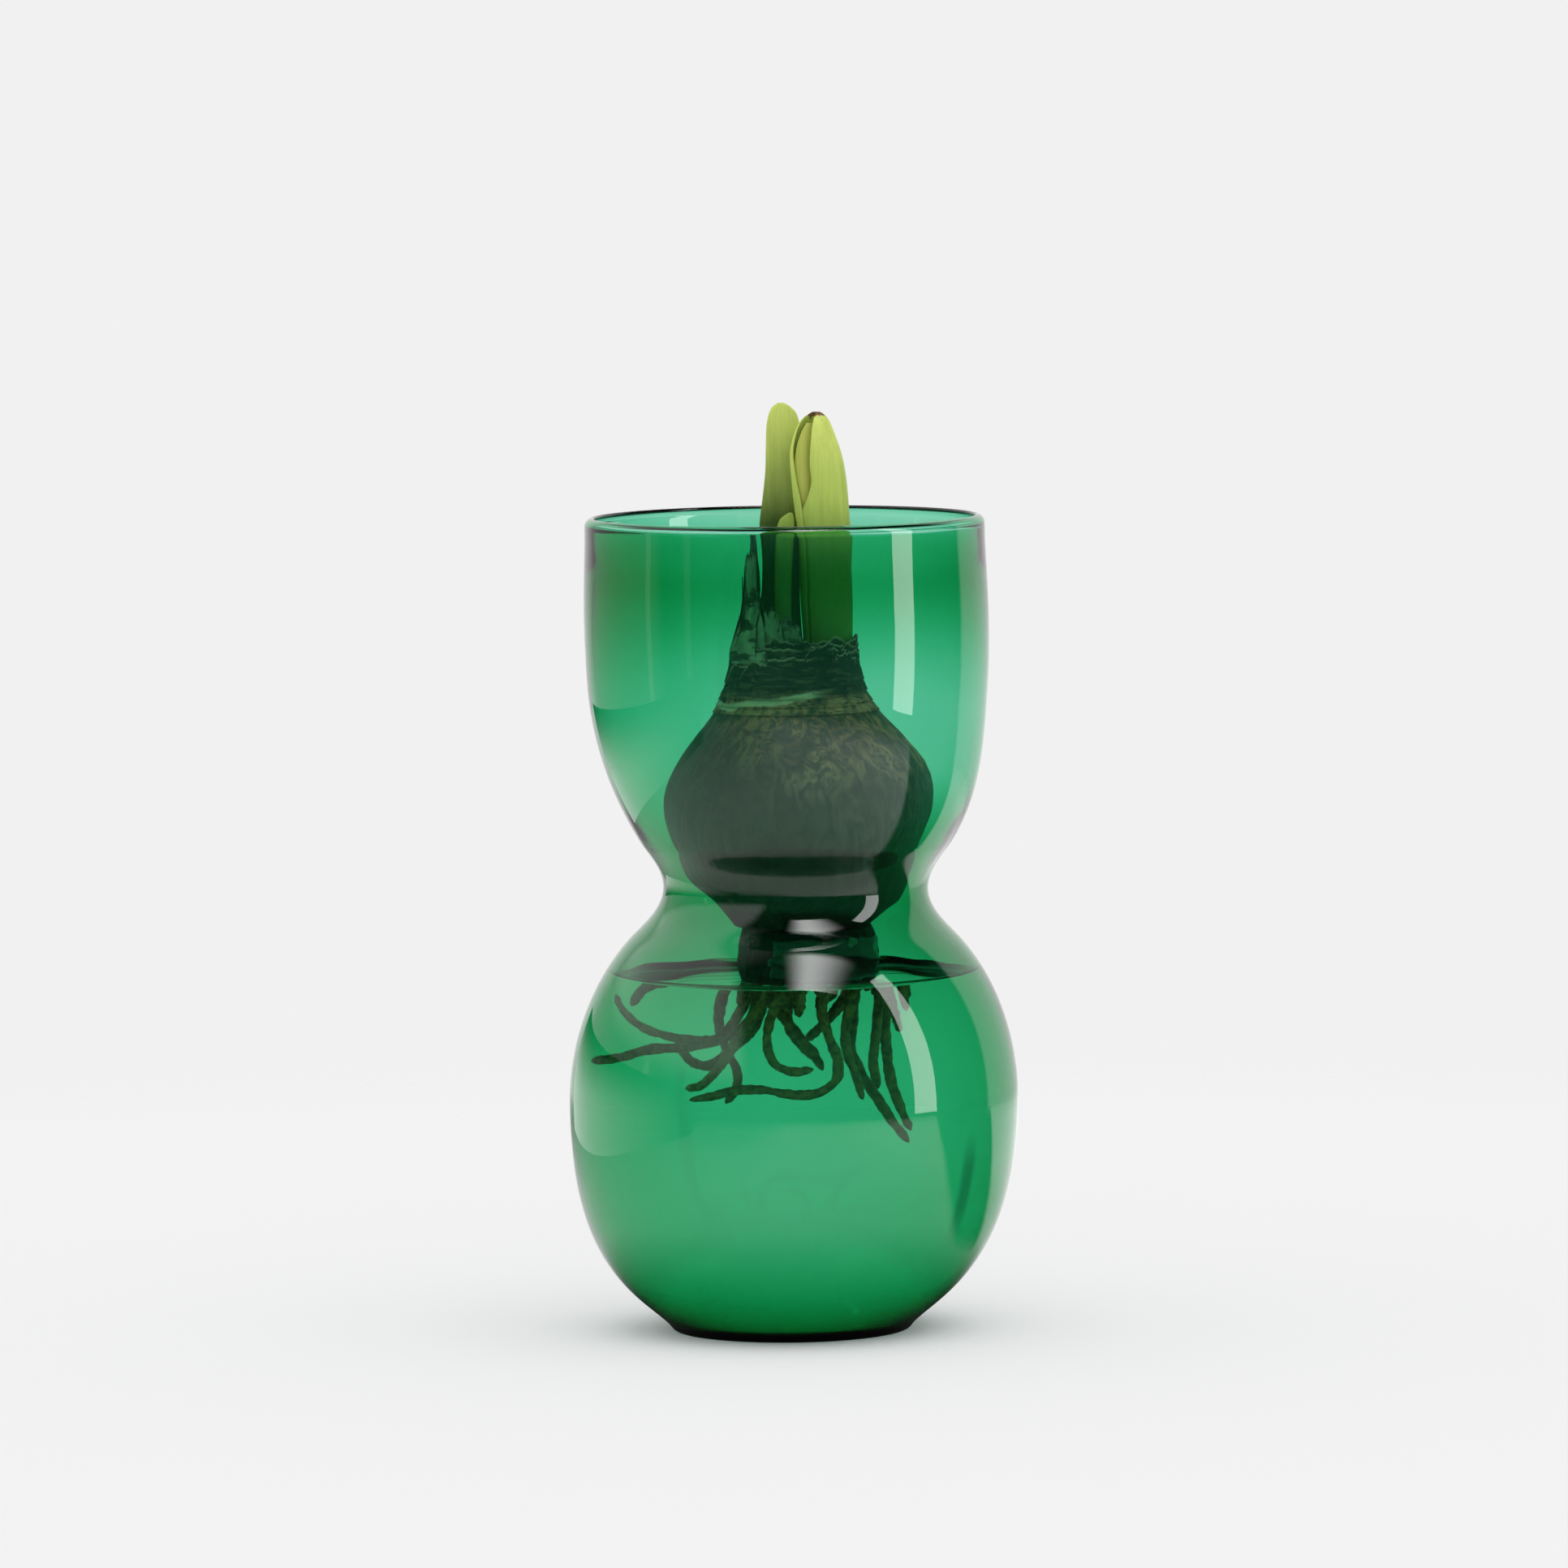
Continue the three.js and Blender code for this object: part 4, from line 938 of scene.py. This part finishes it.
class VASE_OT_tear_skins(bpy.types.Operator):
    """Wrap the torn skins round the neck, and stand the dry sheath on the left"""
    bl_idname = "bulb_vase.tear_skins"
    bl_label = "Tear Skins"

    column_degrees = 1.5
    layer_levels = 10
    strip_columns = 28
    strip_levels = 24
    strip_thickness = 0.3

    def execute(self, context):
        colours = context.scene.vase_bulb
        finish = torn_finish(colours.torn[:], colours.torn_edge[:])
        layers = {}
        for number, layer in enumerate(TORN_LAYERS):
            self.layer(layers.setdefault(layer[0], Surface()), number, *layer[1:])
        for node, surface in layers.items():
            surface.piece("torn_" + node, finish, "bulb", [node], "torn_skin")
        sheath = Surface()
        for number, strip in enumerate(SHEATH_STRIPS):
            self.strip(sheath, number, *strip)
        sheath.piece("papery_sheath", sheath_finish(), "bulb", ["dry_sheath"], "torn_skin")
        return {"FINISHED"}

    def layer(self, surface, number, low, high, start, end, off, flare, tear):
        """One torn layer, which thins and flares towards its ragged upper edge."""
        whole = end - start >= 360

        def place(share, rise):
            turn = math.radians(start + (end - start) * share)
            taper = 1 if whole else ends(share, 5)
            rip = tear * (round_wave(41 + number, turn, 5) + 0.6 * round_wave(51 + number, turn, 14)
                          + 0.4 * round_wave(57 + number, turn, 37))
            length = low + (high - low) * rise * (0.35 + 0.65 * taper)
            above = max(length - 1, 0) * BULB_LENGTH + rip * rise ** 2 * 0.6
            near = off + flare * rise ** 3 + 0.25 * round_wave(61 + number, turn, 7, 5 * rise)
            places = []
            for proud in (near, near + 0.45 - 0.35 * rise):
                x, y, z = bulb_surface(min(length, 1), turn, proud)
                places.append((x, y, z + above))
            return places, rise

        surface.sheet(max(24, round((end - start) / self.column_degrees)), self.layer_levels, place, whole)

    def strip(self, surface, number, middle, half, bottom, top, distance, lean_in):
        """One papery strip, which narrows, leans in and ends in a ragged tip."""
        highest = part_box("dry_sheath")[1].z / MM + 1
        start_reach = BULB_RADIUS * BULB_ROWS[-1][1] * distance

        def place(share, rise):
            aside = 2 * share - 1
            turn = middle + half * (1 - 0.55 * rise) * aside + 6 * wave(71 + number, 4 * rise) * rise
            turn = math.radians(turn)
            near = start_reach * (1 - (1 - lean_in) * ease(clamp(rise * 1.6)))
            near += 0.5 * wave(81 + number, 3 * aside, 8 * rise)
            ragged = 3.5 * wave(91 + number, 2.6 * aside) + 1.6 * wave(95 + number, 9 * aside)
            height = min(bottom + (top - bottom + ragged * rise) * rise, highest)
            return [(BULB_AXIS + reach * math.cos(turn), reach * math.sin(turn), height)
                    for reach in (near, near + self.strip_thickness)], max(rise ** 6, abs(aside) ** 12)

        surface.sheet(self.strip_columns, self.strip_levels, place)


def leaf_finish(name, tip, base, low, high, dry_from=None):
    """Waxy green with fine veins along the leaf, paler towards its tip, which may have dried, with painted
    shade on its foot.
    """
    finish = Finish(name)
    veins = finish.grain(1500, 2, 0.5, (1, 1, 0.02))
    broad = finish.grain(420, 2, 0.5, (1, 1, 0.05))
    mottle = finish.grain(140, 4, 0.6, (1, 1, 0.4))
    relief = finish.plus(veins, broad)
    along = finish.plus(finish.height(low, high), finish.times(finish.minus(mottle, 0.5), 0.5))
    colour = finish.ramp(along, 0, base, 1, tip)
    shade = finish.ramp(finish.times(relief, 0.5), 0.38, (0.74, 0.8, 0.6), 0.58, WHITE)
    colour = finish.blend(0.55, colour, shade, "MULTIPLY")
    # Painted shade: the leaf is darker low down, in the cup
    below = finish.times(finish.steps(finish.height(*LEAF_PAINTED_SHADE), 1, 0), 0.75)
    colour = finish.blend(below, colour, darker(base, 0.3))
    if dry_from:
        ragged = finish.plus(finish.height(dry_from, dry_from + DRY_FADE),
                             finish.minus(finish.grain(500, 3, 0.6), 0.5))
        colour = finish.blend(finish.steps(ragged, 0.3, 0.5), colour, srgb(118, 84, 50))
    return finish.principled(colour, 0.42, relief, 0.25, 0.0003, Subsurface_Weight=0.12,
                             Subsurface_Radius=(0.3, 0.6, 0.1), Subsurface_Scale=0.003)


class VASE_OT_grow_leaves(bpy.types.Operator):
    """Grow the left leaf, the small leaf, and the rolled right leaf with the blade inside it"""
    bl_idname = "bulb_vase.grow_leaves"
    bl_label = "Grow Leaves"

    rolled_thickness = 1.2
    rolled_steps = 90
    rolled_around = 40

    def execute(self, context):
        colours = context.scene.vase_leaf
        tip, base = colours.tip[:], colours.base[:]
        leaf = leaf_finish("waxy_leaf", tip, base, 0.222, 0.264)
        deep = leaf_finish("deep_waxy_leaf", tip, colours.shaded[:], 0.238, 0.272)
        torn = leaf_finish("torn_waxy_leaf", tip, base, 0.222, 0.264, 0.2675)
        pale = leaf_finish("pale_inner_leaf", srgb(190, 196, 88), srgb(168, 180, 72), 0.235, 0.264)
        self.blade("left_leaf", LEFT_LEAF_ROWS, LEFT_LEAF_DEPTH, -0.08, 60, 28, deep, "leaf")
        self.blade("small_leaf", SMALL_LEAF_ROWS, SMALL_LEAF_DEPTH, -0.05, 30, 20, leaf, "leaf")
        self.rolled_leaf(torn)
        self.blade("inner_leaf", INNER_LEAF_ROWS, INNER_LEAF_DEPTH, 0.1, 30, 20, pale, "inner_leaf")
        return {"FINISHED"}

    def blade(self, node, rows, middle, curl, steps, sides, finish, slot):
        """A leaf blade: level sections whose edges curl, closer together towards the tip."""
        low, high = rows[0][0], rows[-1][0]

        def place(share, turn):
            height = low + (high - low) * (1 - (1 - share) ** 1.5)
            left, right, thick = row_at(rows, height)
            across = math.cos(turn)
            along = math.sin(turn) * thick / 2 * (1 - 0.25 * across ** 2)
            along += curl * (right - left) * across ** 2
            return (left + right) / 2 + (right - left) / 2 * across, middle + along, height

        blade = Surface()
        blade.rings(grid_rings(steps, sides, place))
        blade.piece(node + "_blade", finish, "bulb", [node], slot)

    def rolled_leaf(self, finish):
        """A leaf rolled round a slit, whose sheet thins towards the slit's edges."""
        low, high = RIGHT_LEAF_ROWS[0][0], RIGHT_LEAF_ROWS[-1][0]

        def place(share, portion):
            height = low + (high - low) * (1 - (1 - share) ** 1.4)
            left, right, depth, slit_left, slit_right = row_at(RIGHT_LEAF_ROWS, height)
            thick = min(self.rolled_thickness, depth / 2 * 0.8)
            thick *= clamp(0.35 + 5 * min(portion, 1 - portion))
            turn = math.radians(slit_right + (360 + slit_left - slit_right) * portion)
            return [((left + right) / 2 + ((right - left) / 2 - sunk) * math.cos(turn),
                     RIGHT_LEAF_DEPTH + (depth / 2 - sunk) * math.sin(turn), height)
                    for sunk in (0, thick)], 0.0

        rolled = Surface()
        rolled.sheet(self.rolled_steps, self.rolled_around, place)
        rolled.piece("rolled_leaf", finish, "bulb", ["right_leaf"], "leaf")


def smooth_route(points, steps):
    """Evenly spaced places along a smooth centripetal curve through points."""
    points = [Vector(point) for point in points]
    points = [points[0] * 2 - points[1]] + points + [points[-1] * 2 - points[-2]]
    dense = []
    for p0, p1, p2, p3 in zip(points, points[1:], points[2:], points[3:]):
        gap0, gap1, gap2 = ((b - a).length ** 0.5 for a, b in ((p0, p1), (p1, p2), (p2, p3)))
        leave = ((p1 - p0) / gap0 - (p2 - p0) / (gap0 + gap1) + (p2 - p1) / gap1) * gap1
        arrive = ((p2 - p1) / gap1 - (p3 - p1) / (gap1 + gap2) + (p3 - p2) / gap2) * gap1
        dense += [between(step / ROUTE_STEPS, p1, leave, p2, arrive) for step in range(ROUTE_STEPS)]
    dense.append(points[-2])
    lengths = [0.0]
    for start, end in zip(dense, dense[1:]):
        lengths.append(lengths[-1] + (end - start).length)
    places, index = [], 0
    for step in range(steps + 1):
        wanted = lengths[-1] * step / steps
        while index < len(dense) - 2 and lengths[index + 1] < wanted:
            index += 1
        share = (wanted - lengths[index]) / (lengths[index + 1] - lengths[index])
        places.append(dense[index].lerp(dense[index + 1], clamp(share)))
    return places


def tube(places, radius_at, sides):
    """Rings of a tube along places, with a radius for each share of its length and angle."""
    rings = []
    normal = Vector((1, 0, 0))
    last = len(places) - 1
    for number, place in enumerate(places):
        way = (places[min(number + 1, last)] - places[max(number - 1, 0)]).normalized()
        normal = (normal - way * normal.dot(way)).normalized()
        aside = way.cross(normal)
        ring = []
        for side in range(sides):
            turn = 2 * math.pi * side / sides
            reach = radius_at(number / last, turn)
            ring.append(tuple(place + (normal * math.cos(turn) + aside * math.sin(turn)) * reach))
        rings.append(ring)
    return rings


class VASE_OT_grow_roots(bpy.types.Operator):
    """Grow the roots from under the plate down into the water"""
    bl_idname = "bulb_vase.grow_roots"
    bl_label = "Grow Roots"

    taper = 0.3
    gap = 0.3
    root_sides = 12
    rootlets = 3
    rootlet_sides = 10
    rootlet_steps = 14

    def execute(self, context):
        settings = context.scene.vase_root
        start = Vector((PLATE_AXIS, 0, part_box("basal_plate")[0].z / MM + self.gap))
        finish = Finish("wet_roots")
        skin = finish.grain(600, 4, 0.6)
        colour = finish.ramp(skin, 0.35, darker(settings.colour, 0.35), 0.6, settings.colour)
        finish.principled(colour, 0.45, skin, 1.0, 0.0009)
        radius = settings.radius / MM
        for number, (name, route) in enumerate(ROOT_ROUTES.items()):
            points = [start + Vector((x * ROOT_REACH, y * ROOT_REACH, z * ROOT_DEPTH)) for x, y, z in route]
            points.insert(1, Vector((points[0].x, points[0].y, start.z - 2 * radius)))

            def radius_at(share, turn, seed=number):
                lump = 1 + 0.26 * wave(100 + seed, 16 * share)
                lump += 0.22 * wave(130 + seed, 52 * share, 2 * turn)
                tip = max(clamp((1 - share) * 24) ** 0.5, 0.15)
                return radius * (1 - self.taper * share) * lump * tip

            root = Surface()
            root.rings(tube(smooth_route(points, 12 * len(points)), radius_at, self.root_sides))
            for branch in range(self.rootlets):
                turn = math.pi * (1 + wave(150 + number, 7 * branch)) + 2.4 * branch
                away = Vector((math.cos(turn), math.sin(turn), 0))
                foot = points[0] + away * 3
                bend = foot + away * 1.5 - Vector((0, 0, 4))
                end = foot + away * (3 + 2 * wave(170 + number, branch))
                end -= Vector((0, 0, 7 + 2.5 * (branch % 3)))
                route_down = smooth_route([foot, bend, end], self.rootlet_steps)
                root.rings(tube(route_down, radius_at, self.rootlet_sides))
            root.piece("root_strand_" + name, finish, "bulb", ["root_" + name], "root")
        return {"FINISHED"}


class VASE_OT_set_stage(bpy.types.Operator):
    """Set the pale floor, the studio light and the camera"""
    bl_idname = "bulb_vase.set_stage"
    bl_label = "Set Stage"

    floor_radius = 0.8
    floor_fade = (0.5, 0.784)
    floor_colour = 0.88
    floor_sides = 96
    floor_height = -0.00005
    through_share = 0.85
    streaks = ((-0.12, -0.05, 0.75), (-0.56, -0.5, 0.22))
    streak_edge = 0.01
    darkest = 0.015
    strip_card = (62, 75.5, 0.9, 1.19)
    low_card = (-150, -50, 0.5, 0.13)
    low_card_edges = (("Y", 0.0, 0.6), ("Z", 1.0, 0.3))
    lamp_direction = (0.2, -0.25, 1.0)
    lamp_width = 60
    camera_place = (-0.00192, -3.1, 0.413)
    camera_tilt = 85.353
    camera_roll = -0.65
    camera_lens = 242.8

    def floor(self, settings):
        """A matt disc that fades out, pale behind glass, and in mirrors painted lighter or darker by place:
        a painted glow, painted shade near the vase and in a wedge on the right, and a painted dim patch on
        the left.
        """
        finish = Finish("pale_floor")
        place = finish.node("TexCoord").outputs["Object"]
        far = finish.node("VectorMath", {0: place}, operation="LENGTH").outputs["Value"]
        spot = finish.spot()
        x, y = spot["X"], spot["Y"]
        path = finish.node("LightPath").outputs
        matt = finish.node("BsdfDiffuse", {"Color": (*[self.floor_colour] * 3, 1)}).outputs[0]
        gone = finish.node("BsdfTransparent").outputs[0]

        # Painted light in mirrors: the floor glows away from the vase, more on the front right. It is
        # painted dark near the vase and in a wedge on the right, and dim far on the left
        front_right = finish.steps(finish.plus(x, finish.times(y, 0.2)), 0.0, 0.3)
        painted_glow = finish.plus(0.04, finish.times(front_right, settings.mirrored_floor))
        painted_glow = finish.light(1.0, finish.times(finish.steps(far, 0.09, 0.25), painted_glow))
        mirrored = finish.node("AddShader", {0: matt, 1: painted_glow}).outputs[0]
        painted_dark_wedge = finish.times(finish.steps(finish.plus(y, finish.times(x, 0.3)), 0, 0.02),
                             finish.steps(finish.minus(finish.times(x, 0.5), y), 0, 0.02),
                             finish.steps(x, 0.05, 0.1))
        shaded = finish.most(painted_dark_wedge, finish.steps(far, 0.12, 0.05))
        mirrored = finish.mix(shaded, mirrored, finish.light(0.02))
        painted_dim_left = finish.times(finish.steps(far, 0.12, 0.6), finish.steps(x, 0.0, -0.2))
        mirrored = finish.mix(painted_dim_left, mirrored, finish.light(0.32))

        through = finish.times(path["Is Transmission Ray"], self.through_share,
                               finish.steps(far, 0.065, 0.12))
        seen = finish.mix(through, matt, finish.light(settings.backdrop))
        seen = finish.mix(finish.times(path["Is Glossy Ray"], path["Is Reflection Ray"]), seen, mirrored)
        finish.show(finish.mix(finish.steps(far, *self.floor_fade), seen, gone))
        turns = [2 * math.pi * side / self.floor_sides for side in range(self.floor_sides)]
        self.flat("pale_floor", finish, [
            (math.cos(turn) * self.floor_radius, math.sin(turn) * self.floor_radius, self.floor_height)
            for turn in turns])

    def flat(self, name, finish, corners):
        """One flat face between corners in metres, as part of the stage."""
        sheet = Surface()
        sheet.faces.append([sheet.point(*(part / MM for part in corner)) for corner in corners])
        made = sheet.piece(name, finish, None, [], None)
        return made

    def glow(self, name, strength, corners, soft=()):
        """A lit sheet that only mirrors show. A soft edge has an axis, and where light starts and fills."""
        finish = Finish(name)
        spot = finish.spot("Generated")
        if soft:
            strength = finish.times(finish.patch(spot, soft), strength)
        in_mirror = finish.node("LightPath").outputs["Is Reflection Ray"]
        gone = finish.node("BsdfTransparent").outputs[0]
        finish.show(finish.mix(in_mirror, gone, finish.light(1.0, strength)))
        made = self.flat(name, finish, corners)
        made.visible_camera = False
        made.visible_diffuse = False
        made.visible_shadow = False
        made.visible_transmission = False

    def card(self, name, strength, start, end, reach, high, soft=()):
        """An upright lit sheet from the floor up, between two angles from the camera's side to the right."""
        corners = []
        for angle, height in ((start, 0.0), (end, 0.0), (end, high), (start, high)):
            turn = math.radians(angle)
            corners.append((reach * math.sin(turn), -reach * math.cos(turn), height))
        self.glow(name, strength, corners, soft)

    def lamp(self, name, strength, direction, width):
        """A soft sun, as wide as an angle in degrees, from a direction. No mirror shows it."""
        data = bpy.data.lights.new(name, "SUN")
        data.energy = strength
        data.angle = math.radians(width)
        made = bpy.data.objects.new(name, data)
        made.rotation_euler = Vector(direction).to_track_quat("Z", "Y").to_euler()
        bpy.context.scene.collection.objects.link(made)
        made.visible_glossy = False
        made.visible_transmission = False

    def mirrored_studio(self, sky, way, backdrop):
        """What mirrors show: a studio that is pale behind, below and on the left, where it has streaks."""
        behind = sky.node("Mix", {"Factor": sky.steps(way["X"], -0.02, 0.02),
                                  "A": sky.steps(way["Y"], 0.6, 0.95, backdrop),
                                  "B": sky.steps(way["Y"], 0.44, 0.5, backdrop)}).outputs["Result"]
        left = sky.times(sky.line(way["Y"], -0.1, 0.9, 0.3, 0.6), sky.steps(way["Y"], -0.3, -0.12),
                         sky.steps(way["X"], 0.0, -0.3))
        upper_left = sky.times(sky.steps(way["Z"], 0.12, 0.4), sky.steps(way["X"], -0.38, -0.52, 1.2))
        below = sky.steps(way["Z"], -0.25, -0.4, backdrop)
        beside = sky.times(sky.steps(way["X"], 0, -0.2), sky.steps(way["Z"], 0.35, 0.25))
        edge = self.streak_edge
        streaks = [
            sky.times(sky.band(way["Y"], low - edge, low + edge, high - edge, high + edge, bright), beside)
            for low, high, bright in self.streaks]
        return sky.most(*streaks, behind, left, upper_left, below, self.darkest)

    def world(self, settings):
        """Even light on dull things, a pale backdrop, and a darker ceiling and stand behind glass."""
        world = bpy.data.worlds.new("studio")
        world.use_nodes = True
        sky = Nodes(world.node_tree, "OutputWorld")
        way = sky.spot("Generated")
        path = sky.node("LightPath").outputs

        def background(colour, strength=1.0):
            return sky.node("Background", {"Color": colour, "Strength": strength}).outputs[0]

        aside = sky.node("Math", {0: way["X"], 1: way["Y"]}, operation="DIVIDE").outputs[0]
        stand = sky.times(sky.band(aside, -0.52, -0.57, -0.61, -0.66),
                          sky.band(way["Z"], -0.06, 0.02, 0.1, 0.26), sky.steps(way["Y"], 0, 0.1), 0.5)
        ceiling = sky.steps(way["Z"], 0.4, 0.7, 0.97)
        hidden = sky.times(sky.most(stand, ceiling), path["Is Transmission Ray"])
        backdrop = background(sky.line(hidden, 0, 1, settings.backdrop, 0))
        seen = sky.most(path["Is Camera Ray"], path["Is Transmission Ray"])
        lit = sky.mix(seen, background((1, 1, 1, 1), settings.ambient), backdrop)
        mirrored = background(self.mirrored_studio(sky, way, settings.backdrop))
        sky.show(sky.mix(sky.times(path["Is Glossy Ray"], path["Is Reflection Ray"]), lit, mirrored))
        bpy.context.scene.world = world

    def camera(self):
        data = bpy.data.cameras.new("photo_camera")
        data.lens = self.camera_lens
        data.sensor_width = 36
        data.clip_end = 100
        data.dof.use_dof = False
        made = bpy.data.objects.new("photo_camera", data)
        made.matrix_world = (Matrix.Translation(self.camera_place)
                             @ Matrix.Rotation(math.radians(self.camera_tilt), 4, "X")
                             @ Matrix.Rotation(math.radians(self.camera_roll), 4, "Z"))
        bpy.context.scene.collection.objects.link(made)
        bpy.context.scene.camera = made

    def execute(self, context):
        settings = context.scene.vase_stage
        self.floor(settings)
        self.card("strip_lamp", settings.strip, *self.strip_card)
        self.glow("overhead_card", settings.overhead, OVERHEAD_CORNERS, OVERHEAD_EDGES)
        self.card("low_card", settings.card, *self.low_card, self.low_card_edges)
        self.lamp("overhead_lamp", settings.key, self.lamp_direction, self.lamp_width)
        self.world(settings)
        self.camera()
        context.scene.view_settings.view_transform = "Standard"
        return {"FINISHED"}


OPERATORS = [VASE_OT_blow_glass, VASE_OT_pour_water, VASE_OT_grow_bulb, VASE_OT_cut_plate,
             VASE_OT_tear_skins, VASE_OT_grow_leaves, VASE_OT_grow_roots, VASE_OT_set_stage]
GROUPS = {"vase_glass": GlassSettings, "vase_water": WaterSettings, "vase_bulb": BulbSettings,
          "vase_leaf": LeafSettings, "vase_root": RootSettings, "vase_stage": StageSettings}


class VASE_PT_bulb_vase(bpy.types.Panel):
    """Lists the settings and the steps that build the vase"""
    bl_idname = "VASE_PT_bulb_vase"
    bl_label = "Bulb Vase"
    bl_space_type = "VIEW_3D"
    bl_region_type = "UI"
    bl_category = "Bulb Vase"

    def draw(self, context):
        layout = self.layout
        for name, group in GROUPS.items():
            column = layout.box().column()
            for setting in group.__annotations__:
                column.prop(getattr(context.scene, name), setting)
        for operator in OPERATORS:
            layout.operator(operator.bl_idname)


def register():
    for made in (*GROUPS.values(), *OPERATORS, VASE_PT_bulb_vase):
        bpy.utils.register_class(made)
    for name, group in GROUPS.items():
        setattr(bpy.types.Scene, name, PointerProperty(type=group))


def unregister():
    for name in GROUPS:
        delattr(bpy.types.Scene, name)
    for made in (VASE_PT_bulb_vase, *reversed(OPERATORS), *reversed(GROUPS.values())):
        bpy.utils.unregister_class(made)


def main():
    register()
    for operator in OPERATORS:
        category, name = operator.bl_idname.split(".")
        getattr(getattr(bpy.ops, category), name)()


if __name__ == "__main__":
    main()
